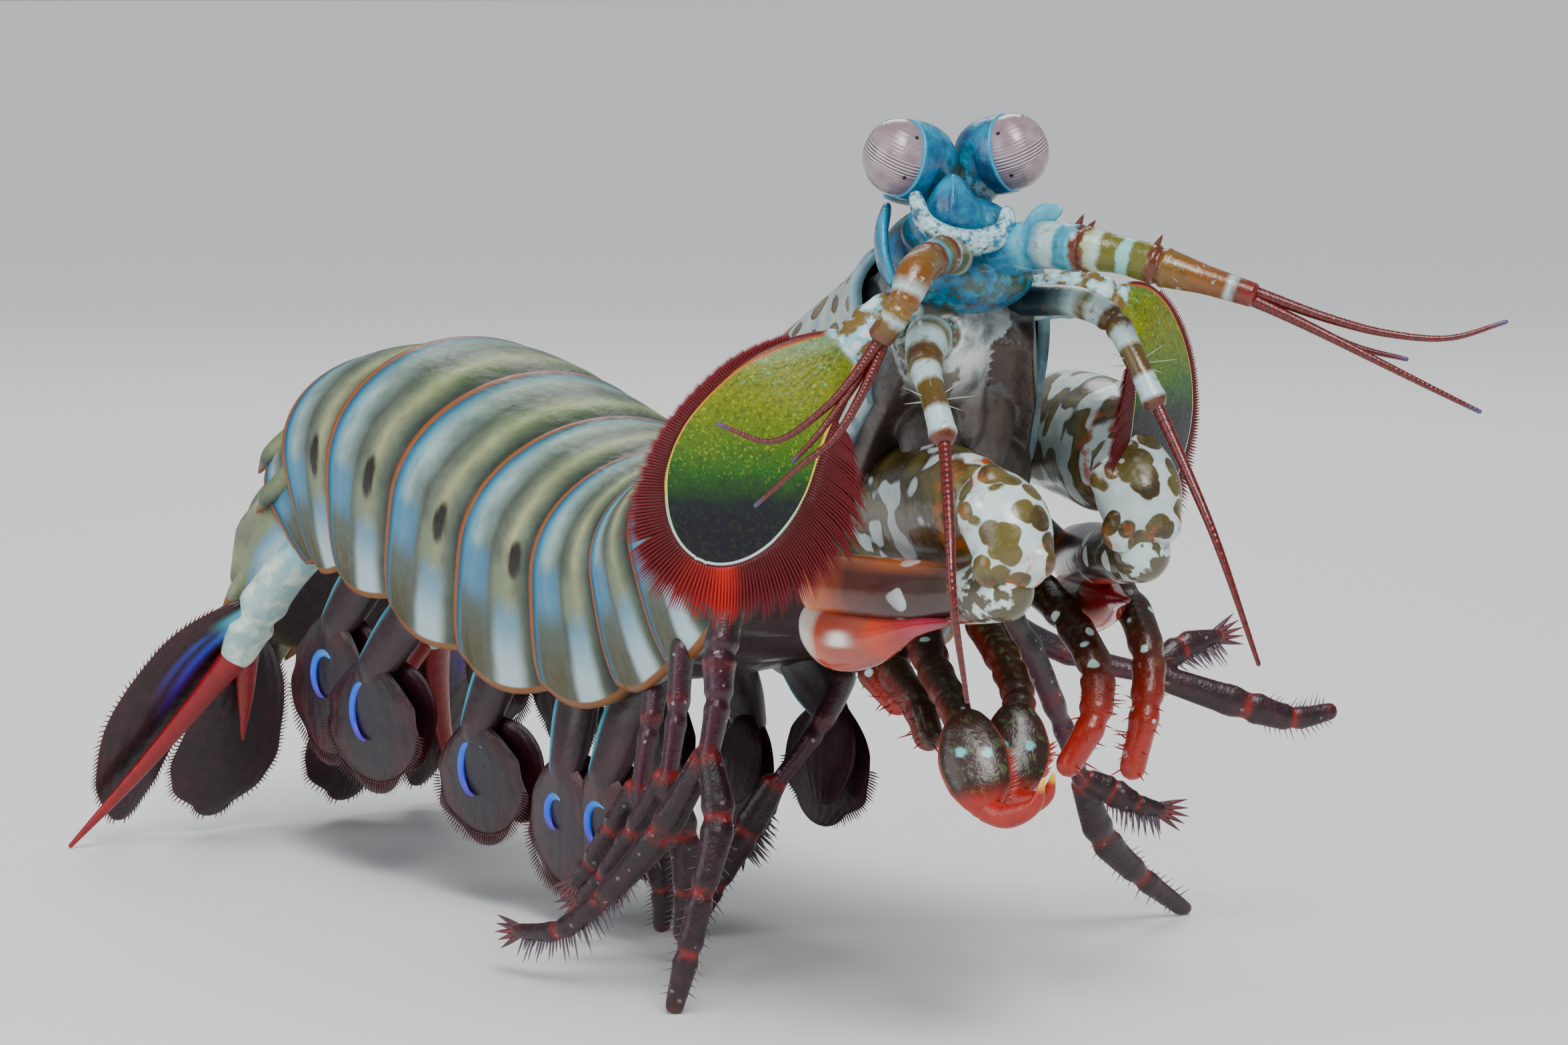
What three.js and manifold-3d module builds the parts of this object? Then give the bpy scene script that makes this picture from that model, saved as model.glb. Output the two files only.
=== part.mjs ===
// A peacock mantis shrimp, life size (about 150 mm from antennules' root to telson tip), standing on its walking legs
// with the fore body reared up and turned to its right, the abdomen arched and the tail fan let down to the floor.
// Millimetres, +Z up, floor at z = 0. The head faces -Y, the tail lies towards +Y and the animal's left is +X.
import * as THREE from "three";
import { mergeVertices } from "three/addons/utils/BufferGeometryUtils.js";
import Module from "manifold-3d";

const wasm = await Module();
wasm.setup();

// Driving dimensions.
const GAP = 0.3; // clearance between neighbouring pieces
const HALF_WIDTH = 13.6; // abdomen, midline to pleuron
const BACK_HEIGHT = 10; // abdomen, axis to the top of the back
const PLEURON_DROP = 11.3; // abdomen, axis to the lower edge of the pleuron
const SHELL = 0.9; // carapace thickness
const EYE_RADIUS = 2.55;
const LEG_RADIUS = 1.25;

// The body axis from telson tip to head. Each station is named by the piece that starts there.
const AXIS = {
  telson_tip: [-4.7, 61.3, 17.6],
  telson_mid: [-4.7, 57.6, 24.9],
  telson: [-4.7, 52.8, 31.2],
  abdomen_6: [-4.7, 46.9, 35.1],
  abdomen_5: [-4.7, 38.8, 35.9],
  abdomen_4: [-4.7, 29.2, 34.1],
  abdomen_3: [-4.7, 19.2, 31.2],
  abdomen_2: [-4.7, 9.2, 29.6],
  abdomen_1: [-4.8, 0.6, 30],
  thorax_8: [-5.8, -6.6, 32.5],
  thorax_7: [-7.2, -13.3, 35.9],
  thorax_6: [-8.9, -19.2, 39.6],
  thorax_5: [-10, -22.2, 41.6],
  carapace_mid: [-13.6, -33.6, 49.4],
  neck: [-17.2, -41.8, 54.8],
};
const axisNames = Object.keys(AXIS);
const axisCurve = new THREE.CatmullRomCurve3(
  axisNames.map((name) => new THREE.Vector3(...AXIS[name])),
  false,
  "centripetal",
);

const vec = (p) => (p.isVector3 ? p.clone() : new THREE.Vector3(...p));
const lerp = (a, b, t) => a + (b - a) * t;
const UP = new THREE.Vector3(0, 0, 1);

// A frame on the axis: place, direction towards the head, the animal's left and its dorsal side.
function axisFrame(u) {
  const at = axisCurve.getPoint(u);
  const ahead = axisCurve.getTangent(u);
  const left = new THREE.Vector3().crossVectors(UP, ahead).normalize();
  const dorsal = new THREE.Vector3().crossVectors(ahead, left).normalize();
  return { at, ahead, left, dorsal };
}
const stationU = (name) => axisNames.indexOf(name) / (axisNames.length - 1);
const place = (f, x, z) => f.at.clone().addScaledVector(f.left, x).addScaledVector(f.dorsal, z);

// A closed body through rings of equal length. Caps are fans to a ring's middle, or strips that join the
// outer half of a shell's ring to its inner half.
function loft(rings, shell = false) {
  const n = rings[0].length;
  const points = rings.flat().map(vec);
  const faces = [];
  for (let k = 0; k + 1 < rings.length; k++)
    for (let i = 0; i < n; i++) {
      const a = k * n + i;
      const b = k * n + ((i + 1) % n);
      // The same diagonal on both faces of a thin blade keeps them apart.
      if (i < n / 2) faces.push([a, b, a + n], [b, b + n, a + n]);
      else faces.push([a, b, b + n], [a, b + n, a + n]);
    }
  for (const [k, turn] of [[0, false], [rings.length - 1, true]]) {
    const base = k * n;
    const cap = [];
    if (shell) {
      for (let i = 0; i + 1 < n / 2; i++) {
        const outer = [base + i, base + i + 1];
        const inner = [base + n - 1 - i, base + n - 2 - i];
        cap.push([outer[1], outer[0], inner[0]], [outer[1], inner[0], inner[1]]);
      }
    } else {
      const middle = new THREE.Vector3();
      for (let i = 0; i < n; i++) middle.addScaledVector(points[base + i], 1 / n);
      points.push(middle);
      for (let i = 0; i < n; i++) cap.push([base + ((i + 1) % n), base + i, points.length - 1]);
    }
    for (const f of cap) faces.push(turn ? [f[0], f[2], f[1]] : f);
  }
  return solidFrom(points, faces);
}

// A solid from points and faces; faces that look inwards are turned round.
function solidFrom(points, faces) {
  const make = (tris) => {
    const geometry = new THREE.BufferGeometry();
    geometry.setAttribute("position", new THREE.Float32BufferAttribute(points.flatMap((p) => p.toArray()), 3));
    geometry.setIndex(tris.flat());
    return toSolid(geometry);
  };
  const made = make(faces);
  return made.volume() < 0 ? make(faces.map(([a, b, c]) => [a, c, b])) : made;
}

function toSolid(geometry) {
  const bare = geometry.clone();
  bare.deleteAttribute("normal");
  bare.deleteAttribute("uv");
  const merged = mergeVertices(bare, 1e-4);
  const index = merged.index.array;
  const kept = [];
  for (let i = 0; i < index.length; i += 3)
    if (index[i] !== index[i + 1] && index[i + 1] !== index[i + 2] && index[i] !== index[i + 2])
      kept.push(index[i], index[i + 1], index[i + 2]);
  return new wasm.Manifold(
    new wasm.Mesh({
      numProp: 3,
      vertProperties: new Float32Array(merged.attributes.position.array),
      triVerts: new Uint32Array(kept),
    }),
  );
}

// A geometry from a solid.
function toGeometry(solid) {
  const mesh = solid.getMesh();
  const geometry = new THREE.BufferGeometry();
  const xyz = new Float32Array(mesh.numVert * 3);
  for (let i = 0; i < mesh.numVert; i++)
    for (let k = 0; k < 3; k++) xyz[i * 3 + k] = mesh.vertProperties[i * mesh.numProp + k];
  geometry.setAttribute("position", new THREE.BufferAttribute(xyz, 3));
  geometry.setIndex(new THREE.BufferAttribute(new Uint32Array(mesh.triVerts), 1));
  return geometry;
}

// The same solid with its skin moved out by a distance, for cutting a neighbour clear of it.
function fattened(solid, distance) {
  const geometry = toGeometry(solid);
  geometry.computeVertexNormals();
  const p = geometry.attributes.position;
  const n = geometry.attributes.normal;
  for (let i = 0; i < p.count; i++)
    p.setXYZ(i, p.getX(i) + n.getX(i) * distance, p.getY(i) + n.getY(i) * distance, p.getZ(i) + n.getZ(i) * distance);
  return toSolid(geometry);
}

const union = (solids) => solids.reduce((a, b) => a.add(b));

// A tapered limb or blade along a smooth curve through its joints. Each size is [half width, half thickness];
// thickness lies along the given direction.
function limb(joints, sizes, { normal = [0, 0, 1], sides = 8, steps = 2, rounded = true } = {}) {
  const curve = new THREE.CatmullRomCurve3(joints.map(vec), false, "centripetal");
  const spans = joints.length - 1;
  const count = spans * steps;
  const rings = [];
  const ring = (t, scale, push) => {
    const at = curve.getPoint(t);
    const along = curve.getTangent(t);
    const thick = vec(normal).addScaledVector(along, -vec(normal).dot(along)).normalize();
    const wide = new THREE.Vector3().crossVectors(along, thick);
    const k = Math.min(spans - 1, Math.floor(t * spans));
    const f = t * spans - k;
    const w = lerp(sizes[k][0], sizes[k + 1][0], f) * scale;
    const h = lerp(sizes[k][1], sizes[k + 1][1], f) * scale;
    at.addScaledVector(along, push * Math.min(w, h * 2.5));
    const points = [];
    for (let i = 0; i < sides; i++) {
      const a = (2 * Math.PI * (i + 0.5 * (sides % 4 === 2))) / sides;
      points.push(at.clone().addScaledVector(wide, Math.cos(a) * w).addScaledVector(thick, Math.sin(a) * h));
    }
    return points;
  };
  if (rounded) rings.push(ring(0, 0.55, -0.45));
  for (let i = 0; i <= count; i++) rings.push(ring(i / count, 1, 0));
  if (rounded) rings.push(ring(1, 0.5, 0.5));
  return loft(rings);
}

const bristle = (normal) => ({ normal, sides: 4, steps: 1, rounded: false });

// An ellipsoid with radii along its own width, depth and height, facing a direction.
function ball(at, radii, facing = [0, -1, 0], segments = [14, 10]) {
  const geometry = new THREE.SphereGeometry(1, ...segments);
  geometry.scale(...radii);
  const toward = vec(facing).normalize();
  const left = new THREE.Vector3().crossVectors(UP, toward).normalize();
  const top = new THREE.Vector3().crossVectors(toward, left);
  const turn = new THREE.Matrix4().makeBasis(left, toward.clone().negate(), top);
  if (turn.determinant() < 0) turn.makeBasis(left, toward, top);
  geometry.applyMatrix4(turn.setPosition(vec(at)));
  const solid = toSolid(geometry);
  return solid;
}

// Body rings. Half a section runs from the mid back over the side to the pleuron's tip and under the belly.
function bodyOutline(halfWidth, back, drop) {
  const half = [];
  const arcSteps = 6;
  for (let i = 0; i <= arcSteps; i++) {
    const a = (Math.PI / 2) * (i / arcSteps);
    half.push([halfWidth * Math.sin(a), back * Math.cos(a)]);
  }
  half.push([halfWidth * 1.0, -drop * 0.45], [halfWidth * 0.95, -drop * 0.8], [halfWidth * 0.86, -drop]);
  half.push([halfWidth * 0.72, -drop * 0.95], [halfWidth * 0.44, -drop * 0.88], [0, -drop * 0.86]);
  return [...half, ...half.slice(1, -1).reverse().map(([x, z]) => [-x, z])];
}

// One shell segment: it starts narrower, under the segment in front, and flares to its rear edge.
function segment(from, to, sizeFront, sizeRear, steps = 4) {
  const u0 = stationU(from);
  const u1 = stationU(to);
  const span = axisCurve.getPoint(u0).distanceTo(axisCurve.getPoint(u1));
  const inset = ((GAP * 0.7) / span) * (u1 - u0);
  const rings = [];
  for (let i = 0; i <= steps; i++) {
    const t = i / steps;
    const flare = lerp(0.94, 1.0, Math.min(1, t * 1.6)) + 0.012 * t;
    const [w, b, d] = sizeFront.map((v, k) => lerp(v, sizeRear[k], t) * flare);
    const round = 0.86 + 0.14 * Math.sin(Math.PI * Math.min(1, 0.12 + t * 0.78)) ** 0.6;
    const frame = axisFrame(lerp(u0 + inset, u1 - inset, t));
    rings.push(bodyOutline(w, b, d * round).map(([x, z]) => place(frame, x, z)));
  }
  return loft(rings);
}

// Every piece in the order in which it is cut: a later piece gives way to an earlier one.
const pieces = [];
const add = (name, solid, material) => pieces.push({ name, solid, material });
const finish = (color, roughness = 0.35, metalness = 0) =>
  new THREE.MeshStandardMaterial({ color, roughness, metalness });
const paint = {
  shell: finish(0x7d9a80),
  spotted: finish(0xb9b49a),
  blue: finish(0x1486b8),
  cornea: finish(0xc9a9bc, 0.2),
  ringed: finish(0xa07a1c),
  scale: finish(0x5f8a14),
  claw: finish(0xcfd3c4),
  club: finish(0xe04a22),
  leg: finish(0x5c2233),
  fan: finish(0x4a1424),
  maxilliped: finish(0x53332a),
};

const sideSign = { right: -1, left: 1 };
const FACING = [-0.62, -0.78, 0.1]; // the way the head looks
const MID_X = AXIS.abdomen_3[0];
const mirrored = (joints) => joints.map(([x, y, z]) => [2 * MID_X - x, y, z]);

// Eyes: a cornea on a flared stalk. They look to the sides of the line of sight.
const EYES = {
  right: { at: [-23.0, -42.3, 63.7], look: [-0.97, 0.06, 0.2], root: [-19.4, -42.6, 60.6] },
  left: { at: [-15.3, -45.9, 64.0], look: [0.33, -0.92, 0.2], root: [-17.3, -43.6, 60.8] },
};
for (const [side, eye] of Object.entries(EYES)) {
  const look = vec(eye.look).normalize();
  const cornea = ball(eye.at, [EYE_RADIUS * 0.98, EYE_RADIUS * 0.94, EYE_RADIUS * 1.06], eye.look, [14, 11]);
  add(`eye_${side}`, cornea, paint.cornea);
  const rim = vec(eye.at).addScaledVector(look, -0.1);
  const cup = vec(eye.at).addScaledVector(look, -2.1);
  const neck = vec(eye.root).lerp(cup, 0.45);
  const stalk = limb(
    [eye.root, neck, cup, rim],
    [[1.3, 1.3], [1.9, 1.9], [2.75, 2.75], [2.7, 2.85]],
    { sides: 12, steps: 1, normal: [0, 0, 1] },
  );
  add(`eyestalk_${side}`, stalk, paint.blue);
}

// Trunk: the last of the eight thorax segments lies free of the carapace, then six abdomen segments.
const SEGMENTS = {
  thorax_6: { from: "thorax_6", to: "thorax_7", size: [12.4, 8.7, 7.4] },
  thorax_7: { from: "thorax_7", to: "thorax_8", size: [12.9, 8.8, 10.2] },
  thorax_8: { from: "thorax_8", to: "abdomen_1", size: [13.2, 8.9, 10.0] },
  abdomen_1: { from: "abdomen_1", to: "abdomen_2", size: [HALF_WIDTH, BACK_HEIGHT * 0.91, PLEURON_DROP - 0.6] },
  abdomen_2: { from: "abdomen_2", to: "abdomen_3", size: [HALF_WIDTH, BACK_HEIGHT * 0.96, PLEURON_DROP] },
  abdomen_3: { from: "abdomen_3", to: "abdomen_4", size: [HALF_WIDTH, BACK_HEIGHT * 0.99, PLEURON_DROP] },
  abdomen_4: { from: "abdomen_4", to: "abdomen_5", size: [HALF_WIDTH, BACK_HEIGHT * 1.01, PLEURON_DROP - 0.6] },
  abdomen_5: { from: "abdomen_5", to: "abdomen_6", size: [HALF_WIDTH * 0.93, BACK_HEIGHT * 0.93, 9.8] },
  abdomen_6: { from: "abdomen_6", to: "telson", size: [10.4, 7.9, 7.0] },
};
for (const [name, { from, to, size }] of Object.entries(SEGMENTS))
  add(name, segment(from, to, size, size), paint.shell);

// Telson: a broad shield with a raised keel, narrowing to its spined rear edge.
const TELSON_RINGS = [
  [0.02, 10.2, 6.7, 4.6],
  [0.3, 10.8, 5.6, 3.0],
  [0.6, 10.0, 4.6, 2.0],
  [0.85, 8.2, 3.4, 1.5],
  [1, 5.6, 2.0, 1.0],
];
const telsonU = (t) => lerp(stationU("telson"), 0, t);
const telsonRings = TELSON_RINGS.map(([t, w, b, d]) => {
  const frame = axisFrame(telsonU(t));
  if (t < 0.1) frame.at.addScaledVector(frame.ahead, -GAP);
  return bodyOutline(w, b, d).map(([x, z]) => place(frame, x, z));
});
const telsonParts = [loft(telsonRings)];
for (const s of [-1, 1])
  for (const [t, x, length] of [[0.9, 7.4, 3.6], [0.99, 4.4, 4.2], [0.62, 10.2, 2.6]]) {
    const frame = axisFrame(telsonU(t));
    const root = place(frame, s * (x - 1.2), 0.2).addScaledVector(frame.ahead, 1.5);
    const tip = place(frame, s * (x + 0.9), 0.1).addScaledVector(frame.ahead, -length);
    telsonParts.push(limb([root, tip], [[1.1, 0.9], [0.3, 0.3]], { sides: 6, steps: 1 }));
  }
add("telson", union(telsonParts), paint.shell);

// Carapace: an open shield over the fore body. Its wings hang free and their front edge is swept back.
const CARAPACE_RINGS = 6;
const ARC = 0.62; // share of half the section that is the arched back; the rest is the wing
function carapacePoint(t, s, inset) {
  const u = lerp(stationU("thorax_5"), stationU("neck"), t);
  const frame = axisFrame(u);
  const width = 7.4 + 5.6 * (1 - t) ** 1.8 - inset;
  const back = 4.6 + 4.6 * (1 - t) ** 1.2 - inset;
  const drop = lerp(6.5, 8.2, Math.min(1, t * 1.6)) - 2.2 * Math.max(0, t - 0.6);
  const q = Math.abs(s);
  let x;
  let z;
  if (q <= ARC) {
    const a = (q / ARC) * (Math.PI / 2);
    x = width * Math.sin(a);
    z = back * Math.cos(a);
  } else {
    const f = (q - ARC) / (1 - ARC);
    x = width * (1 - 0.1 * f * f);
    z = -drop * f;
  }
  frame.at.addScaledVector(frame.ahead, -4.6 * t * t * q * q);
  return place(frame, Math.sign(s) * x, z);
}
const carapaceRings = [];
for (let i = 0; i <= CARAPACE_RINGS; i++) {
  const t = i / CARAPACE_RINGS;
  const count = 15;
  const outer = [];
  const inner = [];
  for (let k = 0; k < count; k++) {
    const s = -1 + (2 * k) / (count - 1);
    outer.push(carapacePoint(t, s, 0));
    inner.push(carapacePoint(t, s, SHELL));
  }
  carapaceRings.push([...outer, ...inner.reverse()]);
}
add("carapace", loft(carapaceRings, true), paint.spotted);

// Rostral plate: a small pointed plate that reaches forward between the eyestalks.
const rostrum = limb(
  [[-17.6, -38.6, 60.4], [-17.9, -40.2, 61.0], [-18.1, -42.0, 61.4], [-18.2, -43.4, 61.3]],
  [[3.6, 0.55], [3.3, 0.5], [1.6, 0.45], [0.35, 0.3]],
  { normal: [0.15, 0.25, 0.95], sides: 8, steps: 2 },
);

// Head: the dome between the eyestalks, the crescent ridge below it, the side flange and the blue antennule base.
const headParts = [
  ball([-20.6, -46.2, 59.4], [2.45, 2.0, 3.1], FACING, [12, 9]),
  ball([-19.5, -44.9, 58.4], [4.1, 2.4, 2.6], FACING, [10, 6]),
  ball([-19.2, -45.4, 55.4], [4.7, 3.0, 2.7], FACING, [10, 6]),
  ball([-17.2, -41.6, 56.6], [5.2, 4.2, 3.8], FACING, [10, 6]),
  limb(
    [[-22.9, -41.0, 60.0], [-24.2, -42.0, 58.2], [-24.5, -42.9, 56.0], [-23.8, -43.6, 54.4]],
    [[0.9, 0.4], [1.6, 0.5], [1.7, 0.5], [0.8, 0.4]],
    { normal: [-0.8, 0.6, 0.1], sides: 6 },
  ),
  limb(
    [[-22.9, -45.2, 58.6], [-22.7, -46.9, 56.9], [-20.8, -48.2, 56.2], [-18.8, -48.7, 56.7], [-17.4, -48.1, 58.4]],
    [[0.5, 0.45], [0.75, 0.6], [0.85, 0.65], [0.8, 0.6], [0.5, 0.45]],
    { normal: FACING, sides: 6, steps: 2 },
  ),
];
add("head", union(headParts), paint.blue);
add("rostral_plate", rostrum, paint.blue);

// Fore body under the carapace, with the mouth and its upper lip in front.
const coreRings = [];
for (const [t, w, b, d, shift] of [
  [0.015, 11.4, 7.6, 7.6, 0],
  [0.2, 9.6, 6.6, 9.5, 0],
  [0.45, 8.2, 5.8, 10.8, 0],
    [0.9, 6.4, 3.6, 8.6, 0],
  [1, 5.0, 2.4, 6.6, 1.6],
]) {
  const frame = axisFrame(lerp(stationU("thorax_6"), stationU("neck"), t));
  frame.at.addScaledVector(frame.ahead, shift + (t < 0.1 ? GAP : 0));
  coreRings.push(bodyOutline(w, b, d).map(([x, z]) => place(frame, x, z)));
}
const core = [
  loft(coreRings),
  ball([-19.9, -43.6, 50.6], [3.3, 2.6, 4.6], FACING, [10, 7]),
  ball([-17.0, -41.5, 44.6], [4.2, 3.2, 5.0], FACING, [10, 7]),
  ball([-13.8, -37.0, 41.0], [6.0, 5.0, 6.0], FACING, [10, 7]),
];
add("cephalothorax", union(core), paint.spotted);

// Antennules: a peduncle of three joints and three whips.
const ANTENNULES = {
  left: {
    peduncle: [[-18.2, -47.6, 56.4], [-17.5, -50.8, 56.8], [-16.9, -54.9, 56.5], [-15.5, -57.4, 56.1], [-14.1, -59.8, 55.5], [-12.3, -62.6, 54.7], [-10.5, -65.5, 54.0]],
    sizes: [2.0, 1.9, 1.95, 1.6, 1.65, 1.15, 1.1],
    whips: [
      [[-10.3, -65.4, 54.6], [-7.6, -69.4, 52.7], [-5.1, -72.7, 51.6], [-1.9, -75.4, 51.2], [1.4, -77.6, 52.3]],
      [[-10.6, -65.7, 54.0], [-8.2, -69.3, 51.9], [-5.9, -72.2, 50.0], [-3.0, -75.0, 48.0], [-0.4, -77.0, 46.3]],
      [[-10.9, -65.2, 54.2], [-8.5, -68.3, 52.4], [-6.0, -70.8, 50.9], [-3.6, -73.2, 49.9]],
    ],
  },
  right: {
    peduncle: [[-22.0, -47.6, 56.3], [-25.0, -49.6, 56.6], [-27.6, -51.3, 56.4], [-30.0, -52.7, 55.6], [-31.3, -52.9, 53.6], [-32.1, -51.5, 51.6]],
    sizes: [1.55, 1.7, 1.55, 1.75, 1.2, 1.15],
    whips: [
      [[-32.2, -51.7, 51.8], [-33.8, -51.0, 49.4], [-35.4, -49.7, 47.1], [-37.2, -46.4, 44.8], [-38.9, -42.4, 45.8]],
      [[-32.1, -51.2, 51.3], [-34.0, -50.7, 48.3], [-35.8, -49.8, 45.6], [-36.9, -48.2, 43.5]],
      [[-31.8, -51.6, 51.4], [-33.6, -51.4, 48.0], [-35.2, -50.6, 45.2], [-36.9, -48.9, 43.2], [-38.3, -45.8, 40.4]],
    ],
  },
};
for (const [side, { peduncle, sizes, whips }] of Object.entries(ANTENNULES)) {
  const parts = [limb(peduncle, sizes.map((r) => [r, r]), { sides: 8, steps: 1 })];
  for (const whip of whips) {
    const last = whip.length - 1;
    parts.push(limb(whip, whip.map((_, i) => [lerp(0.5, 0.27, i / last), lerp(0.5, 0.27, i / last)]), { sides: 5, steps: 1 }));
  }
  add(`antennule_${side}`, union(parts), paint.ringed);
}

// Antennae: a short jointed palp and one whip that hangs down.
const ANTENNAE = {
  right: {
    palp: [[-20.8, -43.6, 50.6], [-25.0, -48.2, 51.4], [-28.5, -52.0, 50.0], [-30.7, -55.7, 47.9], [-31.6, -57.9, 45.3]],
    sizes: [1.7, 1.9, 1.45, 1.1, 1.25],
    whip: [[-31.5, -57.7, 45.5], [-34.3, -61.6, 40.5], [-35.7, -63.7, 35.5], [-34.1, -63.3, 28.5]],
  },
  left: {
    palp: [[-14.6, -45.0, 53.4], [-14.0, -51.4, 53.6], [-13.5, -54.5, 52.4], [-13.8, -57.2, 49.7], [-13.5, -59.0, 46.8]],
    sizes: [1.2, 1.3, 1.35, 1.0, 1.15],
    whip: [[-13.5, -58.9, 47.0], [-13.7, -61.9, 43.1], [-13.7, -65.1, 38.3], [-11.9, -67.7, 29.6]],
  },
};
for (const [side, { palp, sizes, whip }] of Object.entries(ANTENNAE)) {
  const parts = [
    limb(palp, sizes.map((r) => [r, r]), { sides: 7, steps: 1 }),
    limb(whip, [[0.6, 0.6], [0.5, 0.5], [0.42, 0.42], [0.27, 0.27]], { sides: 5, steps: 3 }),
  ];
  add(`antenna_${side}`, union(parts), paint.ringed);
}

// Antennal scales: an oval blade on a jointed stalk, with a broad fringe along the inner edge and the tip.
const SCALES = {
  right: {
    stalk: [[-20.4, -42.2, 52.0], [-23.5, -42.8, 52.8], [-26.5, -43.2, 51.5], [-27.6, -42.8, 50.2]],
    blade: [[-27.6, -42.6, 50.9], [-30.2, -42.3, 49.0], [-33.2, -41.6, 46.3], [-35.1, -40.2, 42.7], [-35.6, -38.4, 39.3], [-35.3, -37.0, 36.6]],
    normal: FACING,
    inner: 1,
    reach: 1,
  },
  left: {
    stalk: [[-13.4, -44.4, 53.4], [-10.6, -48.0, 54.0], [-9.2, -49.6, 53.6]],
    blade: [[-9.4, -49.7, 53.6], [-7.4, -50.5, 52.3], [-5.7, -50.3, 49.3], [-4.7, -49.7, 45.6], [-4.4, -49.0, 42.0], [-4.4, -48.4, 39.4]],
    normal: [0.33, -0.94, 0.1],
    inner: -1,
    reach: 0.6,
  },
};
const BLADE_SIZES = [[1.4, 0.7], [3.1, 0.5], [4.5, 0.42], [5.3, 0.4], [4.8, 0.36], [2.9, 0.32]];
// The fringe: [place along the blade, turn from the inner edge towards the tip and round to the outer edge, length].
const FRINGE = [
  [0.34, 14, 2.6], [0.42, 18, 3.8], [0.5, 22, 4.4], [0.58, 26, 4.8], [0.66, 30, 4.8], [0.74, 34, 4.4], [0.82, 38, 4.0],
  [0.9, 48, 4.2], [0.98, 58, 6.2], [1, 74, 5.4], [1, 90, 4.6], [1, 106, 4.8], [0.98, 124, 5.4], [0.91, 138, 3.2],
  [0.85, 146, 2.6], [0.78, 154, 1.9],
];
for (const [side, { stalk, blade, normal, inner, reach }] of Object.entries(SCALES)) {
  const parts = [
    limb(stalk, [[1.7, 1.7], [1.6, 1.5], [1.7, 1.3], [1.4, 0.9]].slice(4 - stalk.length), { sides: 7, steps: 1, normal }),
    limb(blade, BLADE_SIZES, { sides: 8, steps: 1, normal }),
  ];
  const curve = new THREE.CatmullRomCurve3(blade.map(vec), false, "centripetal");
  const spans = blade.length - 1;
  for (const [t, turn, length] of FRINGE) {
    const at = curve.getPoint(t);
    const along = curve.getTangent(t);
    const across = new THREE.Vector3().crossVectors(vec(normal), along).normalize().multiplyScalar(inner);
    const k = Math.min(spans - 1, Math.floor(t * spans));
    const half = lerp(BLADE_SIZES[k][0], BLADE_SIZES[k + 1][0], t * spans - k);
    const angle = (turn * Math.PI) / 180;
    const outward = across.clone().multiplyScalar(Math.cos(angle)).addScaledVector(along, Math.sin(angle));
    const edge = at.clone().addScaledVector(across, Math.sign(90 - turn) * half * Math.abs(Math.cos(angle)) ** 0.5 * 0.86);
    if (t > 0.95) edge.copy(at).addScaledVector(outward, 0.3);
    const root = edge.clone().addScaledVector(outward, -1.0);
    const tip = edge.clone().addScaledVector(outward, length * reach);
    parts.push(limb([root, edge, tip], [[0.45, 0.3], [0.58, 0.28], [0.22, 0.2]], bristle(normal)));
  }
  add(`antennal_scale_${side}`, union(parts), paint.scale);
}

// Raptorial claws, folded: merus, carpus, propodus and the clubbed dactyl.
const RAPTORIALS = {
  right: {
    merus: [[-12.9, -19.7, 39.7], [-15.3, -29.4, 38.5], [-18.5, -41.0, 38.7], [-21.0, -49.2, 39.2]],
    carpus: [[-21.8, -50.8, 40.2], [-23.2, -54.4, 38.8], [-23.6, -56.4, 35.7]],
    propodus: [[-24.2, -57.2, 34.4], [-24.2, -51.2, 33.6], [-25.0, -44.0, 33.1], [-25.2, -36.4, 32.7]],
    dactyl: [[-25.4, -35.6, 30.4], [-25.5, -39.0, 29.4], [-25.6, -43.6, 29.9], [-25.7, -48.6, 31.0], [-26.1, -53.0, 31.9]],
  },
  left: {
    merus: [[4.2, -25.1, 41.7], [1.2, -32.8, 42.4], [-2.2, -40.4, 42.3], [-5.4, -46.0, 41.9]],
    carpus: [[-6.6, -47.8, 42.3], [-8.2, -51.2, 40.0], [-8.5, -52.4, 36.9]],
    propodus: [[-9.0, -52.9, 35.9], [-4.7, -44.6, 34.7], [0.2, -37.1, 33.7], [5.2, -29.7, 32.5]],
    dactyl: [[4.4, -30.0, 30.4], [3.1, -32.6, 29.6], [0.4, -37.6, 30.2], [-2.6, -42.6, 31.0], [-5.2, -46.8, 31.6]],
  },
};
const CLAW_SIZES = {
  merus: [[3.0, 3.6], [3.4, 4.7], [3.6, 4.9], [2.9, 3.9]],
  carpus: [[2.5, 2.6], [3.1, 3.1], [2.5, 2.4]],
  propodus: [[2.2, 2.3], [2.3, 2.4], [2.6, 2.9], [2.3, 2.7]],
  dactyl: [[1.8, 2.0], [2.5, 2.9], [2.0, 2.1], [1.0, 1.0], [0.4, 0.4]],
};
for (const [side, claw] of Object.entries(RAPTORIALS))
  for (const [part, joints] of Object.entries(claw)) {
    const inwards = [-sideSign[side], 0, 0.05];
    const material = part === "dactyl" ? paint.club : paint.claw;
    const made = limb(joints, CLAW_SIZES[part].map(([x, z]) => [z, x]), { sides: 10, normal: inwards });
    add(`raptorial_${part}_${side}`, made, material);
  }

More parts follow.
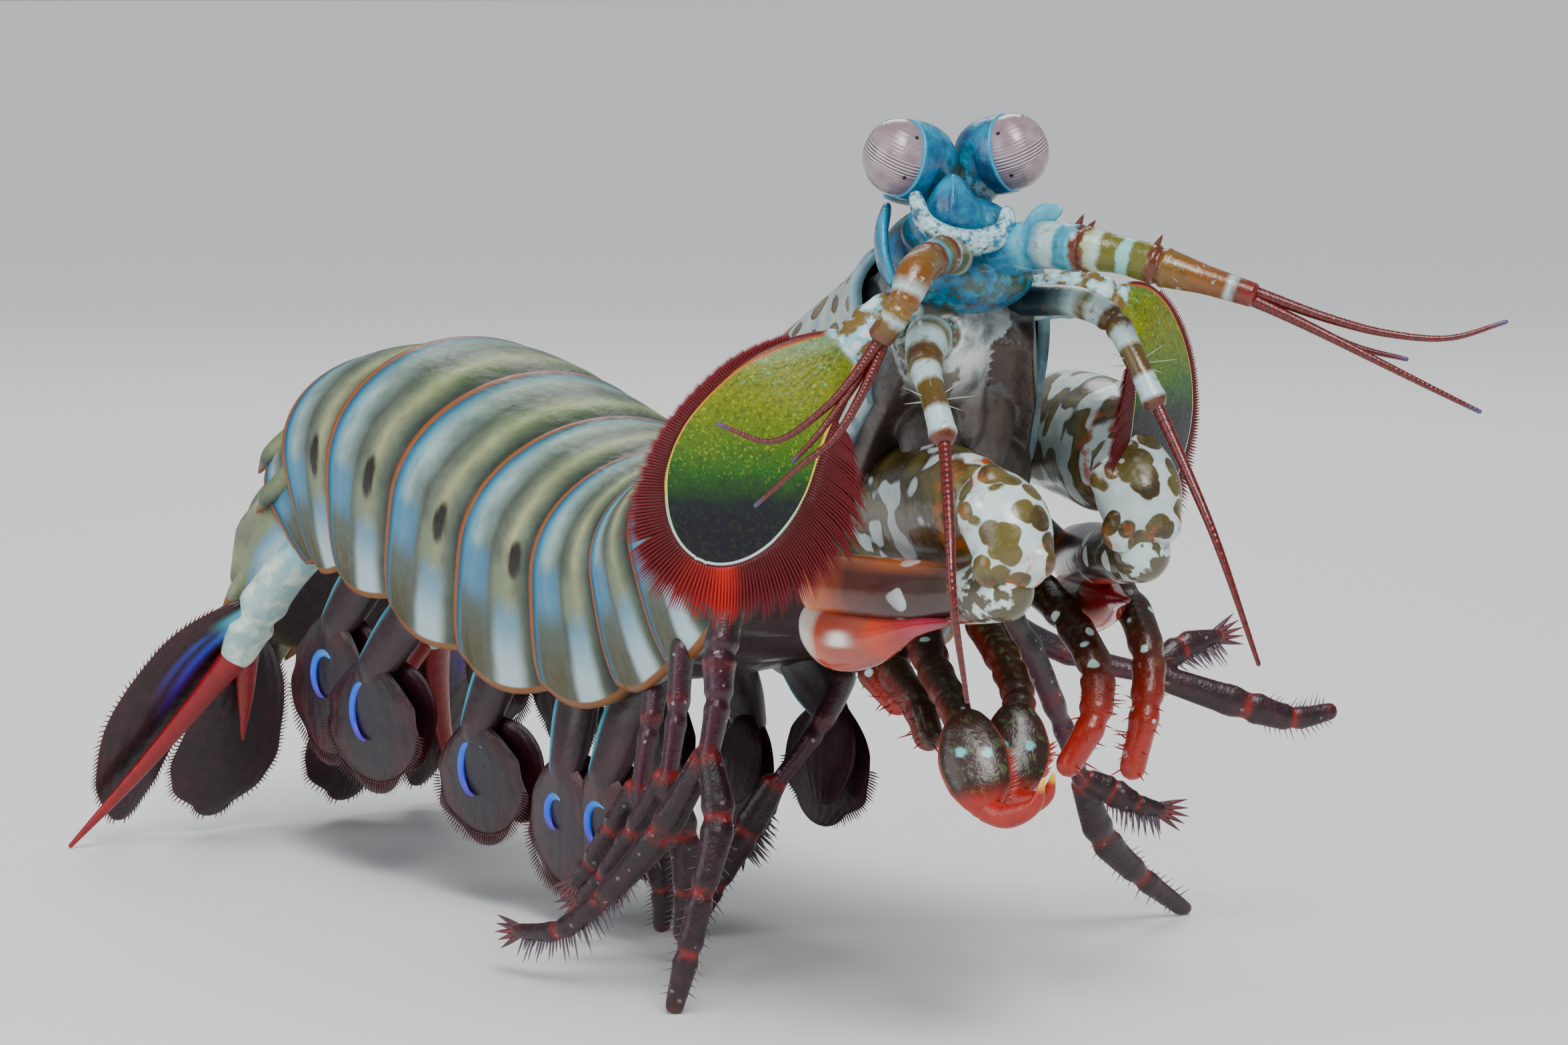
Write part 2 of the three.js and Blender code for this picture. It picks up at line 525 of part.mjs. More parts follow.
// Maxillipeds three to five: slender arms; the third ends in a disc with a small hooked claw.
const MAXILLIPEDS = {
  maxilliped_3_right: {
    joints: [[-12.6, -31.6, 32.6], [-13.4, -33.4, 29.5], [-16.7, -38.8, 26.9], [-19.7, -44.3, 25.3], [-21.4, -48.0, 23.4]],
    disc: [[-21.4, -48.0, 24.4], [-21.8, -49.4, 21.9], [-22.1, -50.6, 20.0], [-22.1, -51.0, 18.5]],
    hook: [[-22.1, -50.8, 18.6], [-21.7, -53.0, 18.3], [-21.0, -55.0, 19.3], [-20.7, -55.6, 21.2]],
  },
  maxilliped_3_left: {
    joints: [[-8.4, -32.6, 33.0], [-8.7, -34.5, 29.7], [-11.2, -40.6, 26.6], [-13.2, -44.2, 24.8], [-14.4, -45.6, 23.4]],
    disc: [[-14.4, -45.4, 24.0], [-15.2, -46.2, 21.4], [-16.2, -46.9, 19.7], [-16.6, -47.1, 18.3]],
    hook: [[-16.6, -47.1, 18.6], [-16.2, -48.9, 18.2], [-15.7, -50.2, 18.9], [-15.4, -50.6, 20.4]],
  },
  maxilliped_4_right: { joints: [[-10.6, -26.6, 31.6], [-10.8, -27.9, 28.5], [-14.6, -31.7, 25.9], [-16.4, -36.9, 23.7], [-17.2, -39.1, 21.4]] },
  maxilliped_4_left: { joints: [[-3.0, -30.0, 35.0], [-1.8, -32.6, 31.4], [-3.5, -38.6, 29.2], [-4.8, -43.1, 25.9], [-6.5, -44.7, 22.8], [-8.3, -43.8, 19.2]] },
  maxilliped_5_right: { joints: [[-9.4, -21.4, 31.4], [-9.2, -22.3, 27.6], [-11.7, -25.5, 25.0], [-12.4, -29.9, 22.6]] },
  maxilliped_5_left: { joints: [[2.4, -26.6, 35.4], [4.3, -30.0, 32.3], [3.9, -36.6, 30.0], [2.2, -40.9, 26.3], [0.5, -42.6, 22.9], [-0.6, -42.3, 18.0]] },
};
for (const [name, { joints, disc, hook }] of Object.entries(MAXILLIPEDS)) {
  const last = joints.length - 1;
  const sizes = joints.map((_, i) => [lerp(1.5, 1.1, i / last), lerp(1.4, 0.95, i / last)]);
  const parts = [limb(joints, sizes, { sides: 7, steps: 1 })];
  if (disc) parts.push(limb(disc, [[1.7, 0.9], [2.5, 1.1], [2.2, 1.0], [1.2, 0.8]], { sides: 8, steps: 1, normal: FACING }));
  if (hook) parts.push(limb(hook, [[0.9, 0.75], [0.8, 0.6], [0.6, 0.5], [0.3, 0.3]], { sides: 5, steps: 1, normal: FACING }));
  add(name, union(parts), paint.maxilliped);
}

// Walking legs: a jointed base and two slender branches. Their tips stand on the floor.
const LEGS = {
  leg_1_right: {
    base: [[-14.6, -17.0, 33.2], [-18.6, -17.9, 30.4], [-20.6, -18.6, 26.0], [-21.4, -19.4, 22.6], [-22.7, -19.9, 18.6]],
    branches: [
      [[-22.7, -19.9, 18.8], [-23.6, -22.3, 14.3], [-25.5, -22.8, 9.0], [-26.6, -22.5, 4.6], [-27.1, -21.4, 0.2]],
      [[-22.7, -19.7, 18.8], [-24.7, -16.6, 12.6], [-26.8, -11.8, 7.1], [-27.7, -7.7, 4.3], [-28.5, -3.0, 3.6]],
    ],
  },
  leg_2_right: {
    base: [[-13.4, -10.0, 29.6], [-17.5, -10.3, 26.0], [-19.0, -11.1, 20.5], [-20.2, -11.5, 15.6]],
    branches: [
      [[-20.2, -11.5, 16.0], [-19.6, -12.6, 11.4], [-19.2, -12.4, 7.0], [-19.0, -11.6, 3.2]],
      [[-20.2, -11.3, 16.0], [-21.2, -8.8, 11.2], [-21.8, -5.4, 7.4], [-22.2, -2.4, 5.0]],
    ],
  },
  leg_3_right: {
    base: [[-12.4, -3.4, 27.2], [-15.0, -3.5, 22.6], [-16.6, -4.3, 18.4], [-17.5, -4.2, 13.6]],
    branches: [
      [[-17.5, -4.2, 14.0], [-17.2, -5.6, 9.8], [-16.8, -6.2, 6.0], [-16.6, -5.8, 2.8]],
      [[-17.5, -4.0, 14.0], [-18.2, -1.8, 10.2], [-18.6, 0.8, 7.2], [-18.8, 3.0, 5.2]],
    ],
  },
  leg_1_left: {
    base: [[1.0, -20.0, 32.4], [6.4, -21.6, 25.8], [11.0, -21.0, 18.6], [14.6, -19.6, 13.0]],
    branches: [
      [[14.6, -19.6, 13.2], [18.6, -17.6, 8.0], [24.0, -16.2, 4.0], [30.2, -15.0, 0.2]],
      [[14.8, -19.8, 13.2], [16.6, -20.9, 12.2], [18.4, -21.9, 11.2], [20.4, -22.8, 10.6]],
    ],
  },
  leg_2_left: {
    base: [[3.4, -13.6, 29.0], [9.4, -16.6, 25.6], [14.4, -19.6, 23.0], [19.1, -22.8, 21.6]],
    branches: [
      [[18.8, -22.6, 21.7], [25.5, -26.9, 19.0], [29.0, -28.5, 17.9], [32.3, -29.7, 18.3]],
      [[19.0, -22.6, 21.9], [21.8, -23.4, 23.6], [25.0, -24.2, 24.4]],
    ],
  },
  leg_3_left: {
    base: [[3.0, -3.4, 26.4], [2.6, -4.6, 21.5], [0.0, -4.4, 16.8], [-3.0, -2.8, 12.4]],
    branches: [
      [[-3.0, -2.8, 12.8], [-4.8, -1.2, 8.6], [-6.6, 0.4, 4.4], [-8.0, 2.0, 0.2]],
      [[-3.0, -2.6, 12.8], [-2.6, -0.2, 9.8], [-2.4, 1.6, 7.6], [-2.2, 3.2, 6.2]],
    ],
  },
};
// Stiff bristles spread like a hand at the end of a branch and hang in a row from its lower edge.
function setae(branch) {
  const last = branch.length - 1;
  const end = vec(branch[last]);
  const along = end.clone().sub(vec(branch[last - 1])).normalize();
  const made = [];
  for (const turn of [-0.6, 0.1, 0.8]) {
    const tip = end.clone().addScaledVector(along, 2.2).addScaledVector(UP, -turn * 1.4);
    tip.z = Math.max(tip.z, 0.5);
    made.push(limb([end.clone().addScaledVector(along, -0.8), tip], [[0.45, 0.45], [0.2, 0.2]], bristle(FACING)));
  }
  const curve = new THREE.CatmullRomCurve3(branch.map(vec), false, "centripetal");
  for (const t of [0.5, 0.62, 0.74, 0.86]) {
    const root = curve.getPoint(t);
    const tip = root.clone().addScaledVector(along, 0.9).addScaledVector(UP, -2.8);
    tip.z = Math.max(tip.z, 0.5);
    made.push(limb([root, tip], [[0.4, 0.32], [0.22, 0.2]], bristle(FACING)));
  }
  return made;
}
for (const [name, { base, branches }] of Object.entries(LEGS)) {
  const slim = name.includes("_1_right") ? 1 : 0.85;
  const widths = base.map((_, i) => [1.55, 1.5, 1.6, 1.25, 1.0][base.length === 4 && i > 1 ? i + 1 : i] * slim);
  const parts = [limb(base, widths.map((w) => [w, w * 0.8]), { sides: 7, steps: 1, normal: [0.7, -0.7, 0] })];
  branches.forEach((branch, k) => {
    const last = branch.length - 1;
    const sizes = branch.map((_, i) => [lerp(1.0, k ? 0.75 : 0.95, i / last) + (i === 1 ? 0.25 : 0), 0.7 * LEG_RADIUS * slim * lerp(1, 0.75, i / last)]);
    parts.push(limb(branch, sizes, { sides: 6, steps: 1, normal: FACING }));
    if (k === 1) parts.push(...setae(branch));
  });
  add(name, union(parts), paint.leg);
}

// Pleopods: a short stem below each of the first five abdomen segments and a broad rounded lobe that sweeps back.
const PLEOPODS = {
  pleopod_1_right: { root: [-12.0, 2.6, 22.0], knee: [-14.2, 5.2, 12.6], tip: [-13.6, 5.6, 4.0], width: 3.9 },
  pleopod_2_right: { root: [-12.0, 10.6, 22.0], knee: [-14.2, 10.4, 12.6], tip: [-13.6, 12.0, 4.4], width: 4.6 },
  pleopod_3_right: { root: [-12.0, 20.6, 23.4], knee: [-14.2, 23.2, 14.4], tip: [-13.8, 22.0, 7.0], width: 5.6 },
  pleopod_4_right: { root: [-12.0, 32.4, 26.0], knee: [-14.2, 38.8, 17.8], tip: [-13.8, 38.6, 9.4], width: 6.2 },
  pleopod_5_right: { root: [-11.4, 41.0, 28.0], knee: [-13.6, 45.4, 20.8], tip: [-13.4, 46.6, 11.0], width: 5.2 },
  pleopod_1_left: { root: [2.6, 2.0, 22.0], knee: [5.0, -0.2, 17.0], tip: [4.4, 0.8, 9.6], width: 5.6 },
  pleopod_2_left: { root: [2.6, 10.6, 22.0], knee: [4.8, 10.6, 14.6], tip: [4.2, 12.6, 8.0], width: 4.4 },
  pleopod_3_left: { root: [2.6, 20.6, 23.4], knee: [4.8, 22.2, 15.4], tip: [4.4, 22.6, 8.6], width: 4.6 },
  pleopod_4_left: { root: [2.6, 32.4, 26.0], knee: [4.8, 35.4, 18.8], tip: [4.4, 36.6, 11.4], width: 5.2 },
  pleopod_5_left: { root: [2.0, 41.0, 28.0], knee: [4.2, 45.4, 20.8], tip: [4.0, 46.6, 12.0], width: 4.8 },
};
for (const [name, { root, knee, tip, width }] of Object.entries(PLEOPODS)) {
  const [top, bend, end] = [vec(root), vec(knee), vec(tip)];
  const lobe = [bend.clone().addScaledVector(UP, 0.9), bend.clone().lerp(end, 0.3), bend.clone().lerp(end, 0.7), end];
  const stem = [top, top.clone().lerp(bend, 0.5), bend];
  const flat = { steps: 1, normal: [1, 0, 0] };
  const parts = [
    limb(stem, [[2.0, 1.3], [2.4, 1.4], [1.8, 1.1]], { sides: 6, ...flat }),
    limb(lobe, [[2.0, 1.0], [width * 0.93, 0.7], [width, 0.6], [width * 0.62, 0.45]], { sides: 8, ...flat }),
  ];
  add(name, union(parts), paint.fan);
}

// Uropods: a stem beside the telson's root, a two-pronged process whose long point reaches the floor, and two leaves.
const UROPOD = {
  stem: [[-12.2, 49.8, 28.2], [-13.4, 53.0, 25.2], [-14.6, 56.6, 20.6], [-15.2, 58.6, 17.0]],
  process: [[-15.0, 58.0, 18.0], [-17.4, 61.4, 13.2], [-21.4, 66.0, 6.2], [-25.9, 69.4, 0.1]],
  inner: [[-14.4, 58.0, 18.0], [-13.0, 60.6, 13.6], [-12.0, 62.8, 9.2]],
  exopod: [[-15.8, 56.2, 22.0], [-18.8, 60.2, 17.6], [-20.6, 64.8, 11.2], [-20.8, 68.2, 5.6], [-20.6, 69.6, 2.4]],
  endopod: [[-13.4, 59.0, 19.2], [-12.2, 62.2, 13.8], [-11.8, 65.6, 8.2], [-11.8, 67.6, 4.4], [-11.8, 68.4, 2.6]],
};
const FAN_NORMAL = [0, -0.86, -0.5];
for (const side of ["right", "left"]) {
  const on = side === "right" ? (j) => j : mirrored;
  const parts = [
    limb(on(UROPOD.stem), [[2.0, 1.7], [2.1, 1.8], [2.2, 1.7], [1.6, 1.2]], { sides: 7, steps: 1, normal: FAN_NORMAL }),
    limb(on(UROPOD.process), [[1.4, 1.1], [1.1, 0.8], [0.75, 0.6], [0.4, 0.4]], { sides: 6, steps: 1, normal: FAN_NORMAL }),
    limb(on(UROPOD.inner), [[1.2, 0.9], [0.8, 0.6], [0.3, 0.3]], { sides: 6, steps: 1, normal: FAN_NORMAL }),
    limb(on(UROPOD.exopod), [[1.4, 0.8], [3.6, 0.5], [4.2, 0.42], [3.0, 0.36], [1.2, 0.3]], { sides: 8, steps: 1, normal: FAN_NORMAL }),
  ];
  add(`uropod_${side}`, union(parts), paint.fan);
  const leaf = limb(on(UROPOD.endopod), [[1.2, 0.7], [4.2, 0.5], [5.4, 0.42], [4.6, 0.36], [2.4, 0.3]], { sides: 8, steps: 1, normal: FAN_NORMAL });
  add(`uropod_endopod_${side}`, leaf, paint.fan);
}

// Neighbours are cut clear of each other, everything ends at the floor, and each piece stays one body.
const floorBlock = toSolid(new THREE.BoxGeometry(400, 400, 100).translate(0, 0, -50));
function largest(solid) {
  const bodies = solid.decompose();
  return bodies.reduce((a, b) => (Math.abs(b.volume()) > Math.abs(a.volume()) ? b : a));
}
const boxOf = (solid) => {
  const { min, max } = solid.boundingBox();
  return new THREE.Box3(vec([...min]), vec([...max]));
};
const done = [];
const group = new THREE.Group();
for (const { name, solid, material } of pieces) {
  let made = solid;
  for (const earlier of done)
    if (earlier.box.intersectsBox(boxOf(made))) made = made.subtract(earlier.grown);
  if (boxOf(made).min.z < 0) made = made.subtract(floorBlock);
  made = largest(made);
  const grown = fattened(made, GAP);
  done.push({ grown, box: boxOf(grown) });
  const geometry = toGeometry(made);
  const middle = boxOf(made).getCenter(new THREE.Vector3());
  geometry.translate(-middle.x, -middle.y, -middle.z);
  const mesh = new THREE.Mesh(geometry, material);
  mesh.position.copy(middle);
  mesh.name = name;
  group.add(mesh);
}
// The origin is the middle of the plan outline, on the floor.
const plan = new THREE.Box3().setFromObject(group, true).getCenter(new THREE.Vector3());
group.position.set(-plan.x, -plan.y, 0);
export default group;
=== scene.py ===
"""A peacock mantis shrimp standing with its fore body raised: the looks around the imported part.

Lengths are in millimetres until a mesh is made. Points are in a frame with the floor at z = 0, which ORIGIN
moves to the part's own frame.
"""

import math

import bpy
import numpy as np
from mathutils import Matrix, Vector
from mathutils.kdtree import KDTree


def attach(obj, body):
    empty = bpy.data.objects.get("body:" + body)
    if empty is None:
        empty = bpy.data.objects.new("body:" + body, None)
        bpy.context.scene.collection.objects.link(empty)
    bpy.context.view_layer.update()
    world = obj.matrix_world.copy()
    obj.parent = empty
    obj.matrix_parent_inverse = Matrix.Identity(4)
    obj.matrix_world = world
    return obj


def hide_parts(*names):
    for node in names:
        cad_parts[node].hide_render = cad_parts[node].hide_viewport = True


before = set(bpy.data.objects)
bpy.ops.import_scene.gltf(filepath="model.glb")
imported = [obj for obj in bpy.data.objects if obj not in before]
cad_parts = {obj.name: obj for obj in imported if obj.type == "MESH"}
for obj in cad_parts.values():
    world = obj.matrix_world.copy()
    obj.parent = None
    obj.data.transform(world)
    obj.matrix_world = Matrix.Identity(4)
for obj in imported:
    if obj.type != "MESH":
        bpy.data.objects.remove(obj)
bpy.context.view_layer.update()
rng = np.random.default_rng(7)

ORIGIN = np.array([-3.5843, -3.9749, 0.0])
MM = 0.001
MID_X = -4.7  # the abdomen's middle plane
UP = np.array([0.0, 0.0, 1.0])
FACING = np.array([-0.62, -0.78, 0.1])  # the way the head looks
THINNEST = 0.02  # the least half width of any limb
FLOOR_GAP = 0.02  # the lowest point of what rests on the floor
COAT_ROUGHNESS = 0.12


def vec(p):
    return np.array(p, float)


def unit(v):
    v = vec(v)
    return v / np.maximum(np.linalg.norm(v, axis=-1, keepdims=True), 1e-12)


def mirrored(joints):
    return [[2 * MID_X - x, y, z] for x, y, z in joints]


def smooth(x, lo, hi):
    x = np.clip((np.asarray(x, float) - lo) / (hi - lo), 0, 1)
    return x * x * (3 - 2 * x)


def bell(x, at, width):
    return np.exp(-(((np.asarray(x, float) - at) / width) ** 2))


class Curve:
    """A centripetal Catmull-Rom curve."""

    def __init__(self, points):
        p = vec(points)
        self.n = len(p) - 1
        self.p = np.concatenate([[2 * p[0] - p[1]], p, [2 * p[-1] - p[-2]]])

    def __call__(self, t):
        t = np.atleast_1d(np.asarray(t, float)) * self.n
        k = np.clip(np.floor(t).astype(int), 0, self.n - 1)
        p0, p1, p2, p3 = (self.p[k + i] for i in range(4))
        d0, d1, d2 = (np.maximum(1e-4, np.linalg.norm(b - a, axis=1, keepdims=True) ** 0.5) for a,
            b in ((p0, p1), (p1, p2), (p2, p3)))
        m1 = ((p1 - p0) / d0 - (p2 - p0) / (d0 + d1) + (p2 - p1) / d1) * d1
        m2 = ((p2 - p1) / d1 - (p3 - p1) / (d1 + d2) + (p3 - p2) / d2) * d1
        w = (t - k)[:, None]
        return p1 + m1 * w + (3 * (p2 - p1) - 2 * m1 - m2) * w * w + (2 * (p1 - p2) + m1 + m2) * w**3

    def tangent(self, t):
        t = np.atleast_1d(np.asarray(t, float))
        return unit(self(np.minimum(t + 1e-3, 1)) - self(np.maximum(t - 1e-3, 0)))


def arc_length(path):
    """The distance along a path at each of its points."""
    return np.concatenate([[0], np.cumsum(np.linalg.norm(np.diff(path, axis=0), axis=1))])


def nearest(points, source):
    """For each point, the index of the nearest point of the source and the distance to it."""
    tree = KDTree(len(source))
    for i, p in enumerate(source):
        tree.insert(p, i)
    tree.balance()
    found = [tree.find(p)[1:] for p in points]
    return np.array([index for index, _ in found]), np.array([distance for _, distance in found])


# Meshes.


def grid_faces(rows, cols, closed, start):
    i, j = np.meshgrid(np.arange(rows - 1), np.arange(cols if closed else cols - 1), indexing="ij")
    a = start + i * cols + j
    b = start + i * cols + (j + 1) % cols
    return np.stack([a, b, b + cols, a + cols], -1).reshape(-1, 4).tolist()


class Build:
    """Collects grids of points into one mesh, each with its own attributes."""

    def __init__(self):
        self.points, self.faces, self.attributes, self.count = [], [], {}, 0

    def grid(self, points, closed=True, caps=True, **attributes):
        """Rows by columns of points. Attributes are numbers, or arrays that broadcast to that shape."""
        rows, cols = points.shape[:2]
        start = self.count
        flat = points.reshape(-1, 3)
        self.faces += grid_faces(rows, cols, closed, start)
        if closed and caps:
            self.faces.append(list(range(start + cols - 1, start - 1, -1)))
            self.faces.append(list(range(start + (rows - 1) * cols, start + rows * cols)))
        self.points.append(flat)
        for key in sorted(set(attributes) | set(self.attributes)):
            values = np.broadcast_to(np.asarray(attributes.get(key, 0.0), float), (rows, cols)).ravel()
            self.attributes.setdefault(key, [np.zeros(self.count)]).append(values)
        self.count += len(flat)
        return self

    def fused(self, voxel, rounds):
        """One smooth skin round everything collected so far. Attributes come from the nearest point."""
        data = bpy.data.meshes.new("fuse")
        data.from_pydata(np.concatenate(self.points).tolist(), [], self.faces)
        obj = bpy.data.objects.new("fuse", data)
        bpy.context.scene.collection.objects.link(obj)
        remesh = obj.modifiers.new("remesh", "REMESH")
        remesh.mode = "VOXEL"
        remesh.voxel_size = voxel
        relax = obj.modifiers.new("relax", "SMOOTH")
        relax.factor = 0.5
        relax.iterations = rounds
        made = bpy.data.meshes.new_from_object(obj.evaluated_get(bpy.context.evaluated_depsgraph_get()))
        points = np.empty(len(made.vertices) * 3)
        made.vertices.foreach_get("co", points)
        points = points.reshape(-1, 3)
        near, _ = nearest(points, np.concatenate(self.points))
        self.attributes = {k: [np.concatenate(v)[near]] for k, v in self.attributes.items()}
        self.faces = [list(face.vertices) for face in made.polygons]
        self.points, self.count = [points], len(points)
        bpy.data.objects.remove(obj)
        bpy.data.meshes.remove(data)
        bpy.data.meshes.remove(made)
        return self

    def object(self, name, material, node, slot):
        """A smooth-shaded object of everything collected, in place of a node of the part."""
        data = bpy.data.meshes.new(name)
        data.from_pydata(((np.concatenate(self.points) - ORIGIN) * MM).tolist(), [], self.faces)
        for key, values in self.attributes.items():
            layer = data.attributes.new(key, "FLOAT", "POINT")
            layer.data.foreach_set("value", np.concatenate(values).astype(np.float32))
        data.validate()
        data.update()
        data.polygons.foreach_set("use_smooth", [True] * len(data.polygons))
        data.materials.append(material)
        obj = bpy.data.objects.new(name, data)
        bpy.context.scene.collection.objects.link(obj)
        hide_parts(node)
        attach(obj, "root")


def soft_steps(values, t):
    """Sizes at the joints, carried smoothly along the limb."""
    return np.maximum(Curve(values)(t), THINNEST)


def limb_grid(joints, sizes, normal=(0, 0, 1), rows=40, cols=24, ends=(1.0, 1.0), lens=1.0, shape=None):
    """Points of a tapered limb or blade.

    Each size is [half width, half thickness], and the thickness lies along normal. Ends are how far each end
    is rounded, in half widths. Lens over 1 makes the edges thin. Shape gives the growth at a joint and an
    angle. The second result holds, for each point, its place along, around and across the limb.
    """
    curve = Curve(joints)
    dense = np.linspace(0, 1, 400)
    path = curve(dense)
    length = arc_length(path)
    size = soft_steps(sizes, [0, 1])
    total = length[-1]
    e0 = ends[0] * min(size[0].max(), total * 0.4)
    e1 = ends[1] * min(size[-1].max(), total * 0.4)
    x = 0.5 - 0.5 * np.cos(np.linspace(0, math.pi, rows))
    x = 0.35 * x + 0.65 * np.linspace(0, 1, rows)
    s = -e0 * 0.5 + x * (total + 0.5 * (e0 + e1))
    t = np.interp(s, length, dense)
    at = curve(t)
    along = curve.tangent(t)
    at += along * np.where(s < 0, s, np.where(s > total, s - total, 0))[:, None]
    thick = unit(vec(normal) - (along @ vec(normal))[:, None] * along)
    wide = np.cross(along, thick)
    w, h = soft_steps(sizes, t).T
    taper = np.ones(rows)
    for end, inwards in ((e0, s + e0 * 0.5), (e1, total + 0.5 * e1 - s)):
        d = np.clip(inwards / end, 0, 1)
        taper *= np.sqrt(np.clip(1 - (1 - d) ** 2, 0.0004, 1))
    a = np.linspace(0, 2 * math.pi, cols, endpoint=False)
    cx, cy = np.cos(a), np.sign(np.sin(a)) * np.abs(np.sin(a)) ** lens
    joint = t[:, None] * (len(joints) - 1)
    grow = 1.0 if shape is None else shape(joint, a[None, :])
    px = (w * taper)[:, None] * cx * grow
    py = (h * taper)[:, None] * cy * grow
    points = at[:, None, :] + px[..., None] * wide[:, None, :] + py[..., None] * thick[:, None, :]
    extra = {"along": np.clip(s / total, 0, 1)[:, None], "joint": joint, "around": a / (2 * math.pi),
        "side": cx}
    return points, {key: np.broadcast_to(value, (rows, cols)) for key, value in extra.items()}


def ball_grid(at, radii, facing, rows=40, cols=64):
    """Points of an ellipsoid with radii along its own width, depth and height, poles up and down.

    The second result holds the points of the ball of radius 1 that it is stretched from.
    """
    toward = unit(facing)
    left = unit(np.cross(UP, toward))
    top = np.cross(toward, left)
    b = np.linspace(0.004, math.pi - 0.004, rows)[:, None]
    a = np.linspace(0, 2 * math.pi, cols, endpoint=False)[None, :]
    x, y, z = np.sin(b) * np.cos(a), np.sin(b) * np.sin(a), np.cos(b) + 0 * a
    local = np.stack([x, y, z], -1)
    points = vec(at) + (radii[0] * x)[..., None] * left + (radii[1] * y)[..., None] * toward
    points = points + (radii[2] * z)[..., None] * top
    return points, local


# Materials.


class Shade:
    """A node material. Coordinates inside it are millimetres."""

    def __init__(self, name, roughness, coat=0.0, specular=0.5):
        self.material = bpy.data.materials.new(name)
        self.material.use_nodes = True
        self.tree = self.material.node_tree
        self.out = self.tree.nodes["Principled BSDF"]
        self.out.inputs["Roughness"].default_value = roughness
        self.out.inputs["Specular IOR Level"].default_value = specular
        self.out.inputs["Coat Weight"].default_value = coat
        self.out.inputs["Coat Roughness"].default_value = COAT_ROUGHNESS
        self._where = None

    def new(self, kind, **settings):
        node = self.tree.nodes.new("ShaderNode" + kind)
        for key, value in settings.items():
            setattr(node, key, value)
        return node

    def put(self, socket, value):
        if isinstance(value, bpy.types.NodeSocket):
            self.tree.links.new(value, socket)
        elif socket.type == "RGBA":
            socket.default_value = (*value, 1.0) if len(value) == 3 else value
        else:
            socket.default_value = value

    def where(self):
        """The place on the piece, in millimetres."""
        if self._where is None:
            coords = self.new("TexCoord")
            scale = self.new("VectorMath", operation="SCALE")
            self.put(scale.inputs[0], coords.outputs["Object"])
            scale.inputs["Scale"].default_value = 1 / MM
            self._where = scale.outputs[0]
        return self._where

    def attr(self, name):
        return self.new("Attribute", attribute_name=name).outputs["Fac"]

    def math(self, operation, a, b=0.0):
        node = self.new("Math", operation=operation)
        self.put(node.inputs[0], a)
        self.put(node.inputs[1], b)
        return node.outputs[0]

    def times(self, first, *others):
        for other in others:
            first = self.math("MULTIPLY", first, other)
        return first

    def wander(self, value, noise, amount):
        """A value that noise pushes up and down."""
        return self.math("ADD", value, self.times(self.math("SUBTRACT", noise, 0.5), amount))

    def combine(self, x, y, z=0.0):
        node = self.new("CombineXYZ")
        for socket, value in zip(node.inputs, (x, y, z)):
            self.put(socket, value)
        return node.outputs[0]

    def ramp(self, value, stops):
        """Colours or greys at places from 0 to 1."""
        node = self.new("ValToRGB")
        elements = node.color_ramp.elements
        while len(elements) < len(stops):
            elements.new(0.5)
        for element, (at, color) in zip(elements, stops):
            element.position = at
            color = (color,) * 3 if isinstance(color, (int, float)) else color
            element.color = (*color, 1.0)
        self.put(node.inputs[0], value)
        return node.outputs["Color"]

    def step(self, value, lo, hi):
        """0 up to lo and 1 from hi on, smoothly, or the other way round where hi is less."""
        node = self.new("MapRange", interpolation_type="SMOOTHSTEP")
        for socket, v in zip(list(node.inputs)[:5], (value, lo, hi, 0.0, 1.0)):
            self.put(socket, v)
        return node.outputs[0]

    def mix(self, factor, a, b, blend="MIX"):
        """From a to b. The factor is one value, or a tuple of values to multiply."""
        if isinstance(factor, tuple):
            factor = self.times(*factor)
        node = self.new("Mix", data_type="RGBA", blend_type=blend)
        self.put(node.inputs[0], factor)
        self.put(node.inputs[6], a)
        self.put(node.inputs[7], b)
        return node.outputs[2]

    def noise(self, scale, detail, where=None, rough=0.55):
        node = self.new("TexNoise")
        self.put(node.inputs["Vector"], where or self.where())
        node.inputs["Scale"].default_value = scale
        node.inputs["Detail"].default_value = detail
        node.inputs["Roughness"].default_value = rough
        return node.outputs["Fac"]

    def cells(self, scale, feature="F1", where=None, randomness=1.0):
        node = self.new("TexVoronoi", feature=feature)
        self.put(node.inputs["Vector"], where or self.where())
        node.inputs["Scale"].default_value = scale
        node.inputs["Randomness"].default_value = randomness
        return node.outputs["Distance"]

    def wave(self, value, count):
        """A smooth wave of a value, count times over its range."""
        sine = self.math("SINE", self.times(value, 2 * math.pi * count))
        return self.math("ADD", self.times(sine, 0.5), 0.5)

    def warped(self, amount, scale):
        """Coordinates pushed about by noise, for edges that wander."""
        noise = self.new("TexNoise")
        self.put(noise.inputs["Vector"], self.where())
        noise.inputs["Scale"].default_value = scale
        push = self.new("VectorMath", operation="SCALE")
        self.put(push.inputs[0], noise.outputs["Color"])
        push.inputs["Scale"].default_value = amount
        add = self.new("VectorMath", operation="ADD")
        self.put(add.inputs[0], self.where())
        self.put(add.inputs[1], push.outputs[0])
        return add.outputs[0]

    def bump(self, *layers):
        """Each layer is (height, depth in millimetres)."""
        last = None
        for height, depth in layers:
            node = self.new("Bump")
            node.inputs["Strength"].default_value = 1.0
            node.inputs["Distance"].default_value = depth * MM
            self.put(node.inputs["Height"], height)
            if last:
                self.put(node.inputs["Normal"], last)
            last = node.outputs[0]
        self.put(self.out.inputs["Normal"], last)

